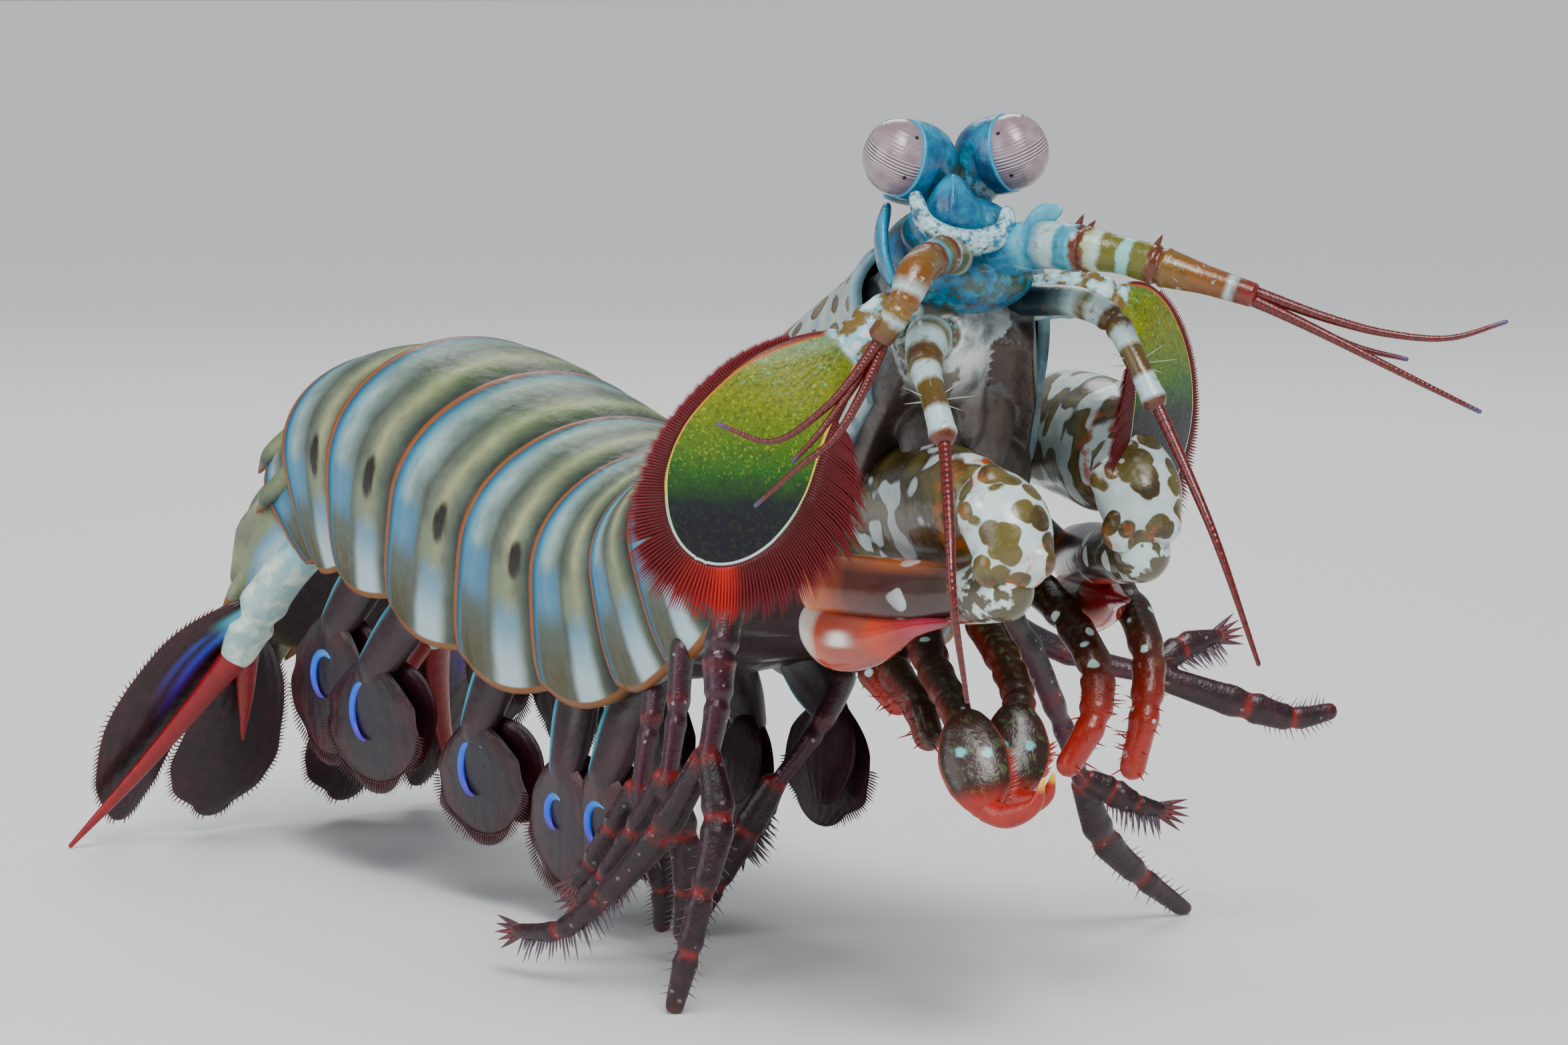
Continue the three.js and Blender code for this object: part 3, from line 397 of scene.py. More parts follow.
    def finish(self, color, roughness=None, depth=0.0):
        """Sets the colour and returns the material. Depth makes dark tones darker and leaves white alone."""
        if depth:
            curve = self.new("Gamma")
            self.put(curve.inputs["Color"], color)
            curve.inputs["Gamma"].default_value = 1 + depth
            color = curve.outputs[0]
        self.put(self.out.inputs["Base Color"], color)
        if roughness is not None:
            self.put(self.out.inputs["Roughness"], roughness)
        return self.material


# The body axis from telson tip to neck, as stations. Each names the piece that starts there.
AXIS = {
    "telson_tip": [-4.7, 61.3, 17.6],
    "telson_mid": [-4.7, 57.6, 24.9],
    "telson": [-4.7, 52.8, 31.2],
    "abdomen_6": [-4.7, 46.9, 35.1],
    "abdomen_5": [-4.7, 38.8, 35.9],
    "abdomen_4": [-4.7, 29.2, 34.1],
    "abdomen_3": [-4.7, 19.2, 31.2],
    "abdomen_2": [-4.7, 9.2, 29.6],
    "abdomen_1": [-4.8, 0.6, 30],
    "thorax_8": [-5.8, -6.6, 32.5],
    "thorax_7": [-7.2, -13.3, 35.9],
    "thorax_6": [-8.9, -19.2, 39.6],
    "thorax_5": [-10, -22.2, 41.6],
    "carapace_mid": [-13.6, -33.6, 49.4],
    "neck": [-17.2, -41.8, 54.8],
}
STATIONS = {name: k / (len(AXIS) - 1) for k, name in enumerate(AXIS)}
axis_curve = Curve(list(AXIS.values()))


class Frames:
    """Frames on the body axis: place, direction towards the head, the animal's left and its back."""

    def __init__(self, u, shift=0.0):
        u = np.atleast_1d(u)
        self.at = axis_curve(u)
        self.ahead = axis_curve.tangent(u)
        self.left = unit(np.cross(UP, self.ahead))
        self.dorsal = np.cross(self.ahead, self.left)
        self.at = self.at + self.ahead * np.broadcast_to(shift, u.shape)[:, None]

    def place(self, x, z, forward=0.0):
        """x, z and forward are rows by columns."""
        x, z, forward = np.broadcast_arrays(np.asarray(x, float), np.asarray(z, float), np.asarray(forward,
            float))
        return (
            self.at[:, None, :]
            + x[..., None] * self.left[:, None, :]
            + z[..., None] * self.dorsal[:, None, :]
            + forward[..., None] * self.ahead[:, None, :]
        )


WIDEST = 0.62


def body_section(q, width, back, drop):
    """Half a section: q runs from 0 at the mid back to WIDEST at the widest point and 1 at the flap's tip."""
    a = np.clip(q / WIDEST, 0, 1) * math.pi / 2
    f = np.clip((q - WIDEST) / (1 - WIDEST), 0, 1)
    x = width * np.sin(a) * (1 - 0.14 * f**2.2)
    z = back * np.cos(a) - drop * f
    return x, z


# Each segment's name, then the name of the next one and its half width, height of back and drop of the flaps.
SEGMENTS = {
    "thorax_6": ("thorax_7", [12.4, 8.7, 7.4]),
    "thorax_7": ("thorax_8", [12.9, 8.8, 10.2]),
    "thorax_8": ("abdomen_1", [13.2, 8.9, 10.0]),
    "abdomen_1": ("abdomen_2", [13.6, 9.1, 10.7]),
    "abdomen_2": ("abdomen_3", [13.6, 9.6, 11.3]),
    "abdomen_3": ("abdomen_4", [13.6, 9.9, 11.3]),
    "abdomen_4": ("abdomen_5", [13.6, 10.1, 10.7]),
    "abdomen_5": ("abdomen_6", [12.65, 9.3, 9.8]),
    "abdomen_6": ("telson", [10.4, 7.9, 7.0]),
}


def make_shell_material():
    m = Shade("banded_shell", roughness=0.42, coat=0.08, specular=0.4)
    t, q = m.attr("along"), m.attr("q")
    inner = m.step(t, 0.9, 0.8)
    wander = m.times(m.math("SUBTRACT", m.noise(0.16, 2), 0.5), 0.11)
    tw = m.math("ADD", t, m.times(wander, inner))
    # The darkest stops at the start of both ramps are painted shadow, cast on the segment's front by the
    # overlapping rear edge of the segment ahead.
    side = m.ramp(tw, [(0.0, (0.012, 0.018, 0.016)), (0.08, (0.03, 0.045, 0.035)), (0.18, (0.12, 0.15, 0.1)),
        (0.3, (0.34, 0.36, 0.19)), (0.42, (0.14, 0.165, 0.12)), (0.54, (0.075, 0.09, 0.072)),
        (0.66, (0.18, 0.25, 0.23)), (0.78, (0.32, 0.46, 0.45)), (0.86, (0.15, 0.34, 0.42)),
        (0.915, (0.02, 0.16, 0.28)), (0.945, (0.01, 0.06, 0.11)), (0.957, (0.3, 0.085, 0.012)),
        (1.0, (0.2, 0.052, 0.008))])
    top = m.ramp(tw, [(0.0, (0.01, 0.018, 0.01)), (0.1, (0.025, 0.045, 0.02)), (0.22, (0.08, 0.12, 0.045)),
        (0.34, (0.22, 0.28, 0.1)), (0.46, (0.09, 0.135, 0.06)), (0.58, (0.035, 0.06, 0.035)),
        (0.7, (0.1, 0.17, 0.115)), (0.8, (0.17, 0.27, 0.2)), (0.88, (0.05, 0.18, 0.2)),
        (0.93, (0.012, 0.08, 0.12)), (0.957, (0.24, 0.075, 0.015)), (1.0, (0.17, 0.05, 0.01))])
    color = m.mix(m.step(q, 0.1, 0.46), top, side)
    cloud = m.ramp(m.noise(0.42, 3), [(0.3, 0.72), (0.7, 1.18)])
    color = m.mix(inner, color, m.mix(1.0, color, cloud, "MULTIPLY"))
    # A blue patch at the side, then a flap with a dark rear half and a white-blue stripe.
    flank = m.times(m.step(q, 0.57, 0.64), m.step(q, 0.84, 0.74))
    blue = m.times(flank, m.step(t, 0.5, 0.66), m.step(t, 0.94, 0.86))
    color = m.mix((blue, 0.8), color, (0.03, 0.21, 0.38))
    knob = m.times(m.step(q, 0.6, 0.66), m.step(q, 0.78, 0.7), m.step(t, 0.22, 0.32), m.step(t, 0.56, 0.44))
    color = m.mix((knob, 0.7), color, (0.2, 0.25, 0.14))
    flap = m.step(q, 0.7, 0.8)
    dark = m.times(flap, m.step(tw, 0.5, 0.62), m.step(t, 0.94, 0.88))
    color = m.mix(dark, color, m.mix(m.step(q, 0.78, 0.92), (0.07, 0.1, 0.075), (0.065, 0.058, 0.018)))
    stripe = m.times(flap, m.step(tw, 0.14, 0.26), m.step(tw, 0.52, 0.4))
    color = m.mix(stripe, color, m.mix(m.step(q, 0.76, 0.95), (0.13, 0.3, 0.42), (0.5, 0.66, 0.7)))
    color = m.mix(m.attr("spot"), color, (0.016, 0.012, 0.009))
    color = m.mix(m.step(m.attr("hem"), 0.35, 0.75), color, (0.24, 0.085, 0.016))
    # Painted shade: the underside and the rolled-in rear lip are painted near black.
    color = m.mix(m.attr("under"), color, (0.03, 0.01, 0.012))
    color = m.mix((m.step(m.noise(3.4, 3), 0.55, 0.8), 0.22), color, (0.05, 0.08, 0.055))
    m.bump((m.noise(0.35, 2), 0.3), (m.noise(4.0, 3), 0.03), (m.cells(2.2), 0.02))
    return m.finish(color, m.ramp(m.noise(1.2, 3), [(0.3, 0.36), (0.7, 0.5)]))


shell = make_shell_material()


def add_segment(name, to, size, rows=44, cols=90):
    u0, u1 = STATIONS[name], STATIONS[to]
    width, back, drop = size
    t = np.concatenate([np.linspace(-0.16, 0.9, rows - 12), np.linspace(0.91, 1.0, 12)])
    radius = 0.948 + 0.06 * smooth(t, -0.16, 0.34) + 0.006 * bell(t, 0.97, 0.03) - 0.01 * bell(t, 0.86, 0.07)
    t = np.concatenate([t, [1.004, 0.996, 0.97]])
    radius = np.concatenate([radius, [radius[-1] - 0.012, radius[-1] - 0.05, radius[-1] - 0.13]])
    frames = Frames(u0 + (u1 - u0) * t)
    round_off = 0.8 + 0.2 * np.clip(np.sin(math.pi * np.clip(0.06 + 0.9 * t, 0.02, 0.98)), 0, 1) ** 0.55
    s = np.linspace(-1, 1, cols * 2 - 1)
    q = np.abs(s)[None, :]
    x, z = body_section(q, width * radius[:, None], back * radius[:, None], drop * round_off[:, None])
    # The lower front corner of each flap draws in, and its lower edge sweeps back.
    sign = np.sign(s)[None, :]
    low = smooth(q, WIDEST, 1.0)
    x = x * (1 - 0.05 * low * bell(t, 0.0, 0.3)[:, None])
    outer = frames.place(sign * x, z, -0.9 * low**2)
    under_x = np.array([0.74, 0.66, 0.5, 0.3, 0.12])[None, :] * width * radius[:, None]
    under_z = -np.array([0.97, 0.86, 0.82, 0.84, 0.85])[None, :] * (drop * round_off)[:, None]
    right_under = frames.place(under_x, under_z, 0.0)
    left_under = frames.place(-under_x[:, ::-1], under_z[:, ::-1], 0.0)
    points = np.concatenate([outer, right_under, left_under], axis=1)
    qq = np.concatenate([np.abs(s), np.ones(10)])[None, :]
    inside = np.concatenate([np.zeros(len(s)), np.ones(10)])[None, :]
    lip = np.zeros(len(t))
    lip[-2:] = 1
    tt = np.clip(t, 0, 1)[:, None]
    spot = 0.0
    if name in ("abdomen_2", "abdomen_3", "abdomen_4", "abdomen_5"):
        index = int(name[-1])
        spot = bell(tt, 0.14 + 0.05 * index, 0.085) * bell(qq, 0.6, 0.055 + 0.006 * index) * 1.25
        spot = smooth(spot, 0.35, 0.75) * (1 - inside)
    hem = smooth(qq, 0.968, 0.99) * (1 - inside)
    # Under marks the underside and the rolled-in rear lip, for painted shade.
    build = Build().grid(points, along=tt, q=qq, spot=spot, hem=hem, under=np.maximum(inside, lip[:, None]))
    if name == "abdomen_6":
        # Spines near the rear edge.
        f = Frames(u0 + (u1 - u0) * 0.8)
        for angle in (0.0, 0.2, 0.38, -0.2, -0.38, 0.6, -0.6):
            x0, z0 = body_section(np.array(abs(angle)), width * 0.97, back * 0.97, drop)
            root = f.place([[math.copysign(x0, angle)]], [[z0]], [[3.0]])[0, 0]
            tip = f.place([[math.copysign(x0 * 1.06, angle)]], [[z0 * 1.04]], [[-3.4]])[0, 0]
            out = unit(tip - f.at[0])
            grid, extra = limb_grid([root, (root + tip) / 2 + out * 0.35, tip], [[0.9, 0.7], [0.8, 0.75],
                [0.12, 0.12]], normal=out, rows=16, cols=14)
            build.grid(grid, along=0.36 + 0.6 * extra["along"] ** 3, q=0.3, hem=smooth(extra["along"], 0.6,
                0.95))
    build.object(name + ".shell", shell, name, "body_shell")


for name, (following, size) in SEGMENTS.items():
    add_segment(name, following, size)


TELSON_SPINES = ((0.9, 7.4, 3.6), (0.99, 4.4, 4.2), (0.62, 10.2, 2.6), (0.97, 2.2, 2.4), (0.96, 6.0, 2.2))


def add_telson():
    # Each stop is a place from root to tip, then half width, height of back and drop of the sides.
    u0 = STATIONS["telson"]
    stops = vec([[0.02, 10.2, 6.7, 4.6], [0.3, 10.8, 5.6, 3.0], [0.6, 10.0, 4.6, 2.0], [0.85, 8.2, 3.4, 1.5],
        [1, 5.6, 2.0, 1.0]])
    t = np.linspace(0.0, 1.0, 44)
    width, back, drop = (np.interp(t, stops[:, 0], stops[:, k]) for k in (1, 2, 3))
    end = np.sqrt(np.clip((1.0 - t) / 0.12, 0.02, 1))
    width, back = width * (0.6 + 0.4 * end), back * (0.35 + 0.65 * end)
    frames = Frames(u0 * (1 - t), shift=-0.3 * (t < 0.05))
    s = np.linspace(-1, 1, 121)
    q = np.abs(s)[None, :]
    keels = sum(0.8 * bell(s, at, 0.035) for at in (0, 0.16, -0.16, 0.34, -0.34, 0.5, -0.5))
    x, z = body_section(q, width[:, None], back[:, None], drop[:, None])
    lift = 1 + 0.1 * keels[None, :] * smooth(t, 0.05, 0.25)[:, None]
    outer = frames.place(np.sign(s)[None, :] * x * lift, z * lift, 0.0)
    under = frames.place(np.array([[0.6, 0.2, -0.2, -0.6]]) * width[:, None], -0.85 * drop[:, None], 0.0)
    # Under marks the underside, for painted shade.
    build = Build().grid(
        np.concatenate([outer, under], 1),
        along=(0.2 + 0.5 * t + 0.1 * np.sin(9 * t))[:, None],
        q=np.concatenate([np.abs(s), np.ones(4)])[None, :],
        hem=smooth(t, 0.93, 1.0)[:, None],
        under=np.concatenate([np.zeros(len(s)), np.ones(4)])[None, :],
    )
    for sign in (-1, 1):
        for t0, x0, length in TELSON_SPINES:
            f = Frames(u0 * (1 - t0))
            root = f.place([[sign * (x0 - 1.2)]], [[0.3]], [[1.5]])[0, 0]
            tip = f.place([[sign * (x0 + 0.9)]], [[0.2]], [[-length]])[0, 0]
            grid, extra = limb_grid([root, (root + tip) / 2, tip], [[1.2, 1.0], [0.9, 0.8], [0.1, 0.1]],
                normal=f.dorsal[0], rows=18, cols=14)
            build.grid(grid, along=0.36, q=0.4, hem=smooth(extra["along"], 0.45, 0.85))
    build.object("telson.shell", shell, "telson", "body_shell")


add_telson()


# Carapace: pale with dark spots outside; inside the wings a grey of painted shade over the pale ground, with
# the black spots of the pattern.
def carapace_points(t, s, inset):
    frames = Frames(STATIONS["thorax_5"] + (1 - STATIONS["thorax_5"]) * t)
    t = t[:, None]
    q = np.abs(s)[None, :]
    width = 7.4 + 5.6 * (1 - t) ** 1.8 - inset
    back = 4.6 + 4.6 * (1 - t) ** 1.2 - inset
    drop = 6.5 + 1.7 * np.minimum(1, t * 1.6) - 2.2 * np.maximum(0, t - 0.6)
    x, z = body_section(q, width, back, drop)
    groove = 0.25 * bell(q, 0.3, 0.03) * smooth(t, 0.05, 0.3)
    return frames.place(np.sign(s)[None, :] * (x - groove), z - groove, -4.6 * t**2 * q**2)


def add_carapace():
    t = np.linspace(0, 1, 70)
    s = np.linspace(-1, 1, 131)
    outer, inner = carapace_points(t, s, 0.0), carapace_points(t, s, 0.9)
    points = np.concatenate([outer, inner[:, ::-1]], 1)
    n = points.shape[1]
    side = np.concatenate([s, s[::-1]])[None, :]
    build = Build()
    build.grid(
        points,
        caps=False,
        inside=np.concatenate([np.zeros(len(s)), np.ones(len(s))])[None, :],
        rim=np.maximum(smooth(t, 0.95, 1.0)[:, None], smooth(np.abs(side), 0.95, 1.0)),
    )
    # Strips that close the front and rear rims.
    for row in (0, len(t) - 1):
        for k in range(len(s) - 1):
            a, b = row * n + k, row * n + k + 1
            build.faces.append([a, b, row * n + n - 2 - k, row * n + n - 1 - k])
    m = Shade("spotted_shell", roughness=0.3, coat=0.4)
    edge = m.cells(0.4, where=m.warped(1.2, 0.35), randomness=0.75)
    spots = m.step(edge, 0.46, 0.43)
    ring = m.times(m.step(edge, 0.32, 0.42), m.step(edge, 0.48, 0.45))
    pale = m.mix(m.step(m.noise(0.5, 3), 0.4, 0.7), (0.5, 0.54, 0.47), (0.26, 0.4, 0.46))
    brown = m.mix(m.noise(1.4, 3), (0.11, 0.075, 0.022), (0.22, 0.15, 0.05))
    outside = m.mix(spots, pale, brown)
    outside = m.mix((ring, 0.7), outside, (0.05, 0.03, 0.01))
    # Painted shade: the inner faces of the wings get a darkened grey copy of the pale ground; the black spots
    # are the real pattern.
    grey = m.mix(m.noise(0.8, 4), (0.08, 0.085, 0.09), (0.22, 0.23, 0.24))
    black = m.step(m.cells(0.19, where=m.warped(1.6, 0.25)), 0.47, 0.43)
    shaded_within = m.mix(black, grey, (0.006, 0.006, 0.008))
    color = m.mix(m.attr("inside"), outside, shaded_within)
    color = m.mix((m.step(m.attr("rim"), 0.3, 0.9), 0.7), color, (0.16, 0.36, 0.46))
    m.bump((m.noise(0.5, 2), 0.25), (m.noise(5.0, 3), 0.02))
    build.object("carapace.shield", m.finish(color), "carapace", "spotted_shell")


add_carapace()


# Eyes.
EYES = {
    "right": { "at": [-23.0, -42.3, 63.7], "look": [-0.97, 0.06, 0.2], "root": [-19.4, -42.6, 60.6] },
    "left": { "at": [-15.3, -45.9, 64.0], "look": [0.33, -0.92, 0.2], "root": [-17.3, -43.6, 60.8] },
}
EYE_RADIUS = 2.55
VIEW_BACK = vec([-0.6123, -0.7837, 0.1045])  # from the animal towards a viewer ahead and to its right
VIEW_RIGHT = unit(np.cross(UP, VIEW_BACK))
VIEW_UP = np.cross(VIEW_BACK, VIEW_RIGHT)


def view_direction(x, y):
    """The unit vector at x to the right and y up on a ball seen by that viewer."""
    return unit(VIEW_RIGHT * x + VIEW_UP * y + VIEW_BACK * math.sqrt(max(0.01, 1 - x * x - y * y)))


def make_cornea():
    m = Shade("cornea", roughness=0.16, coat=0.7)
    b = m.attr("band")
    rows = m.wave(b, 11.0)
    body = m.ramp(m.noise(0.9, 3), [(0.3, (0.24, 0.165, 0.195)), (0.55, (0.36, 0.27, 0.305)),
        (0.75, (0.46, 0.37, 0.405))])
    body = m.mix((m.step(m.math("ABSOLUTE", b), 0.2, 0.9), 0.35), body, (0.15, 0.1, 0.125))
    lines = m.mix(m.step(rows, 0.25, 0.75), (0.1, 0.055, 0.075), (0.62, 0.54, 0.58))
    inside = m.step(m.math("ABSOLUTE", b), 0.215, 0.195)
    color = m.mix(inside, body, lines)
    dots = m.cells(7.0, "DISTANCE_TO_EDGE", randomness=0.25)
    color = m.mix((m.step(dots, 0.12, 0.02), 0.35), color, (0.24, 0.16, 0.2))
    color = m.mix(m.attr("pupil"), color, (0.004, 0.002, 0.004))
    color = m.mix(m.attr("rim"), color, (0.03, 0.05, 0.09))
    m.bump((dots, 0.012), (rows, 0.02))
    return m.finish(color)


def make_blue():
    m = Shade("blue_shell", roughness=0.32, coat=0.45)
    n = m.noise(0.55, 4, where=m.warped(1.2, 0.5))
    color = m.ramp(n, [(0.3, (0.004, 0.075, 0.17)), (0.46, (0.006, 0.18, 0.34)), (0.6, (0.01, 0.29, 0.45)),
        (0.74, (0.06, 0.43, 0.52))])
    fine = m.noise(2.2, 4)
    color = m.mix((m.step(fine, 0.5, 0.7), 0.35), color, (0.02, 0.12, 0.2))
    grime = m.times(m.attr("grime"), m.step(m.noise(1.1, 4), 0.46, 0.6))
    color = m.mix(grime, color, (0.07, 0.1, 0.04))
    pale = m.times(m.attr("pale"), m.step(m.noise(1.4, 5), 0.36, 0.56))
    color = m.mix(pale, color, (0.5, 0.72, 0.76))
    color = m.mix((m.attr("pale"), m.step(m.noise(2.6, 4), 0.58, 0.66)), color, (0.1, 0.14, 0.08))
    color = m.mix(m.attr("edge"), color, (0.03, 0.38, 0.58))
    rough = m.times(m.attr("pale"), m.noise(2.4, 4))
    m.bump((m.noise(0.9, 3), 0.18), (m.noise(4.5, 4), 0.03), (rough, 0.4))
    return m.finish(color, m.ramp(m.noise(1.6, 3), [(0.3, 0.25), (0.7, 0.45)]), depth=0.2)


cornea, blue = make_cornea(), make_blue()
BAND = {"right": (0.905, -0.425), "left": (0.926, 0.377)}  # run of the mid-band as seen
# Places of the dark spots on each eye as seen, from its middle.
PUPILS = {"right": [(0.52, 0.47), (0.18, -0.62)], "left": [(-0.49, 0.45), (-0.12, -0.7)]}
for side, eye in EYES.items():
    look = unit(eye["look"])
    points, _ = ball_grid(eye["at"], EYE_RADIUS * vec([0.98, 0.94, 1.06]), look, 150, 220)
    direction = unit(points - vec(eye["at"]))
    along_band = VIEW_RIGHT * BAND[side][0] + VIEW_UP * BAND[side][1]
    pole = unit(np.cross(look, along_band))
    pole = pole * np.sign(pole @ VIEW_UP)
    pupil = sum(smooth(direction @ view_direction(x, y), 0.9976, 0.9988) for x, y in PUPILS[side])
    rim = smooth(direction @ look, -0.22, -0.34)
    Build().grid(points, band=direction @ pole - 0.02, pupil=pupil, rim=rim).object(f"eye_{side}.cornea",
        cornea, f"eye_{side}", "cornea")
    rim_at, cup = vec(eye["at"]) - 0.35 * look, vec(eye["at"]) - 2.1 * look
    root = vec(eye["root"])
    joints = [root, root * 0.55 + cup * 0.45, cup, vec(eye["at"]) - 1.1 * look, rim_at]
    points, extra = limb_grid(joints, [[1.35, 1.35], [1.95, 1.9], [2.62, 2.66], [2.74, 2.84], [2.68, 2.8]],
        rows=90, cols=96, ends=(0.6, 0.1))
    j = extra["joint"]
    build = Build()
    build.grid(points, grime=smooth(j, 2.4, 0.6), pale=0.35 * smooth(j, 1.2, 0.3), edge=bell(j, 3.9, 0.16))
    build.object(f"eyestalk_{side}.skin", blue, f"eyestalk_{side}", "blue_shell")

# Head.
head = Build()


def head_ball(at, radii, **masks):
    head.grid(ball_grid(at, radii, FACING, 60, 90)[0], **masks)


points, local = ball_grid([-20.5, -46.1, 59.9], [2.3, 1.9, 2.7], FACING, 90, 130)
ridge = bell(local[..., 0], 0, 0.12) * smooth(local[..., 1], 0, 0.5) * smooth(local[..., 2], -0.7, 0.2)
across_head = unit(np.cross(UP, FACING))
points = points - across_head * (2.3 * local[..., 0] * (0.1 + 0.34 * local[..., 2]))[..., None]
points = points + FACING * (0.35 * ridge)[..., None] - VIEW_RIGHT * 0.5
head.grid(points, edge=0.25 * smooth(local[..., 2], 0.2, 0.9))
head_ball([-19.5, -44.9, 58.4], [4.1, 2.4, 2.6], grime=0.6)
head_ball([-19.2, -45.4, 55.4], [4.7, 3.0, 2.7], grime=0.8)
head_ball([-17.2, -41.6, 56.6], [5.2, 4.2, 3.8], grime=0.5)
points, extra = limb_grid([[-22.9, -41.0, 60.0], [-24.2, -42.0, 58.2], [-24.5, -42.9, 56.0],
    [-23.8, -43.6, 54.4]], [[0.9, 0.4], [1.6, 0.5], [1.7, 0.5], [0.8, 0.4]], normal=(-0.8, 0.6, 0.1), rows=60,
    cols=36)
head.grid(points, edge=0.6 * np.abs(extra["side"]) ** 4, grime=0.2)
points, _ = limb_grid(
    [[-23.8, -45.2, 61.2], [-24.0, -46.6, 59.3], [-22.7, -47.9, 58.2], [-20.7, -48.9, 58.0],
        [-19.1, -49.3, 58.7], [-18.5, -48.9, 60.2]],
    [[0.5, 0.45], [0.7, 0.6], [0.85, 0.7], [0.9, 0.7], [0.8, 0.6], [0.45, 0.4]], normal=FACING, rows=90,
        cols=36)
head.grid(points, pale=1.0, grime=0.3)
head.fused(0.13, 5).object("head.skin", blue, "head", "blue_shell")

points, extra = limb_grid([[-17.6, -38.6, 60.4], [-17.9, -40.2, 61.0], [-18.1, -42.0, 61.4],
    [-18.2, -43.4, 61.3]], [[3.6, 0.55], [3.3, 0.5], [1.6, 0.45], [0.35, 0.3]], normal=(0.15, 0.25, 0.95),
    rows=50, cols=48)
Build().grid(points, grime=0.6, edge=np.abs(extra["side"]) ** 6).object("rostral_plate.skin", blue,
    "rostral_plate", "blue_shell")


# Fore body under the carapace, with the mouth and its upper lip.
def make_core():
    m = Shade("fore_body", roughness=0.42, coat=0.1)
    grey = m.mix(m.step(m.noise(0.7, 4), 0.35, 0.65), (0.07, 0.075, 0.08), (0.22, 0.235, 0.24))
    pale = m.mix(m.step(m.noise(0.5, 4), 0.38, 0.62), (0.18, 0.21, 0.22), (0.56, 0.62, 0.61))
    dark = m.step(m.cells(0.2, where=m.warped(1.6, 0.3)), 0.46, 0.4)
    patch = m.times(m.step(m.noise(0.42, 2), 0.54, 0.58), 0.85)
    color = m.mix(patch, pale, (0.1, 0.075, 0.035))
    color = m.mix(m.attr("spotted"), color, m.mix(dark, grey, (0.008, 0.008, 0.01)))
    color = m.mix(m.attr("oval"), color, m.mix(m.step(m.noise(1.8, 4), 0.45, 0.6), (0.13, 0.085, 0.03),
        (0.1, 0.42, 0.52)))
    color = m.mix(m.attr("ring"), color, (0.8, 0.86, 0.86))
    # Painted shade: the lower sides, the underside and the chest under the head are painted near black.
    color = m.mix(m.attr("deep"), color, m.mix(m.noise(0.6, 3), (0.018, 0.01, 0.01), (0.085, 0.055, 0.04)))
    color = m.mix(m.attr("collar"), color, m.ramp(m.noise(0.5, 3), [(0.3, (0.05, 0.065, 0.035)),
        (0.55, (0.13, 0.16, 0.09)), (0.75, (0.24, 0.3, 0.22))]))
    m.bump((m.noise(0.6, 3), 0.25), (m.noise(3.0, 4), 0.03))
    return m.finish(color)


core = Build()
# Each ring is a place along the body, half width, height of back, drop of the sides and a shift forward.
CORE_RINGS = [[0.015, 11.4, 7.6, 7.6, 0], [0.2, 9.6, 6.6, 9.5, 0], [0.45, 8.2, 5.8, 10.8, 0],
    [0.9, 6.4, 3.6, 8.6, 0], [1, 5.0, 2.4, 6.6, 1.6]]
table = vec(CORE_RINGS)
t = np.linspace(0.02, 1, 60)
width, back, drop, shift = (np.interp(t, table[:, 0], table[:, k]) for k in (1, 2, 3, 4))
frames = Frames(STATIONS["thorax_6"] + (1 - STATIONS["thorax_6"]) * t, shift=shift)
s = np.linspace(-1, 1, 81)
x, z = body_section(np.abs(s)[None, :], width[:, None], back[:, None], drop[:, None])
upper = frames.place(np.sign(s)[None, :] * x, z)
lower = frames.place(np.array([[0.6, 0.3, 0, -0.3, -0.6]]) * width[:, None], -0.92 * drop[:, None])
# The lower sides and the underside are marked for painted shade under the carapace.
core.grid(np.concatenate([upper, lower], 1), collar=smooth(t, 0.42, 0.34)[:, None], spotted=1.0,
    deep=np.concatenate([smooth(np.abs(s), 0.8, 1.0), np.ones(5)])[None, :])
for at, radii, masks in (
    ([-19.9, -43.6, 50.6], [3.3, 2.6, 4.6], {}),
    ([-17.0, -41.5, 44.6], [4.2, 3.2, 5.0], {}),
    ([-13.8, -37.0, 41.0], [6.0, 5.0, 6.0], {"deep": 0.8}),
    ([-18.0, -44.3, 46.8], [1.2, 1.5, 3.8], {}),
    ([-21.4, -44.9, 51.6], [1.1, 1.0, 1.6], {}),
):
    core.grid(ball_grid(at, radii, FACING, 60, 90)[0], **masks)
core.fused(0.22, 4)
# A blue and brown oval in a white ring, on the front of the upper lip.
skin = core.points[0]
from_lip = skin - vec([-21.4, -46.0, 51.4])
reach = np.hypot(from_lip @ VIEW_RIGHT / 0.95, from_lip @ VIEW_UP / 1.15)
near = (from_lip @ VIEW_BACK > -2.5).astype(float)
core.attributes["oval"] = [smooth(reach, 1.0, 0.88) * near]
core.attributes["ring"] = [bell(reach, 1.12, 0.1) * near]
# The chest below the mouth is painted shade too.
shade_below = 0.92 * smooth(skin[:, 2], 50.0, 46.0) * (1 - core.attributes["spotted"][0])
core.attributes["deep"] = [np.maximum(core.attributes["deep"][0], shade_below)]
core.object("cephalothorax.skin", make_core(), "cephalothorax", "spotted_shell")


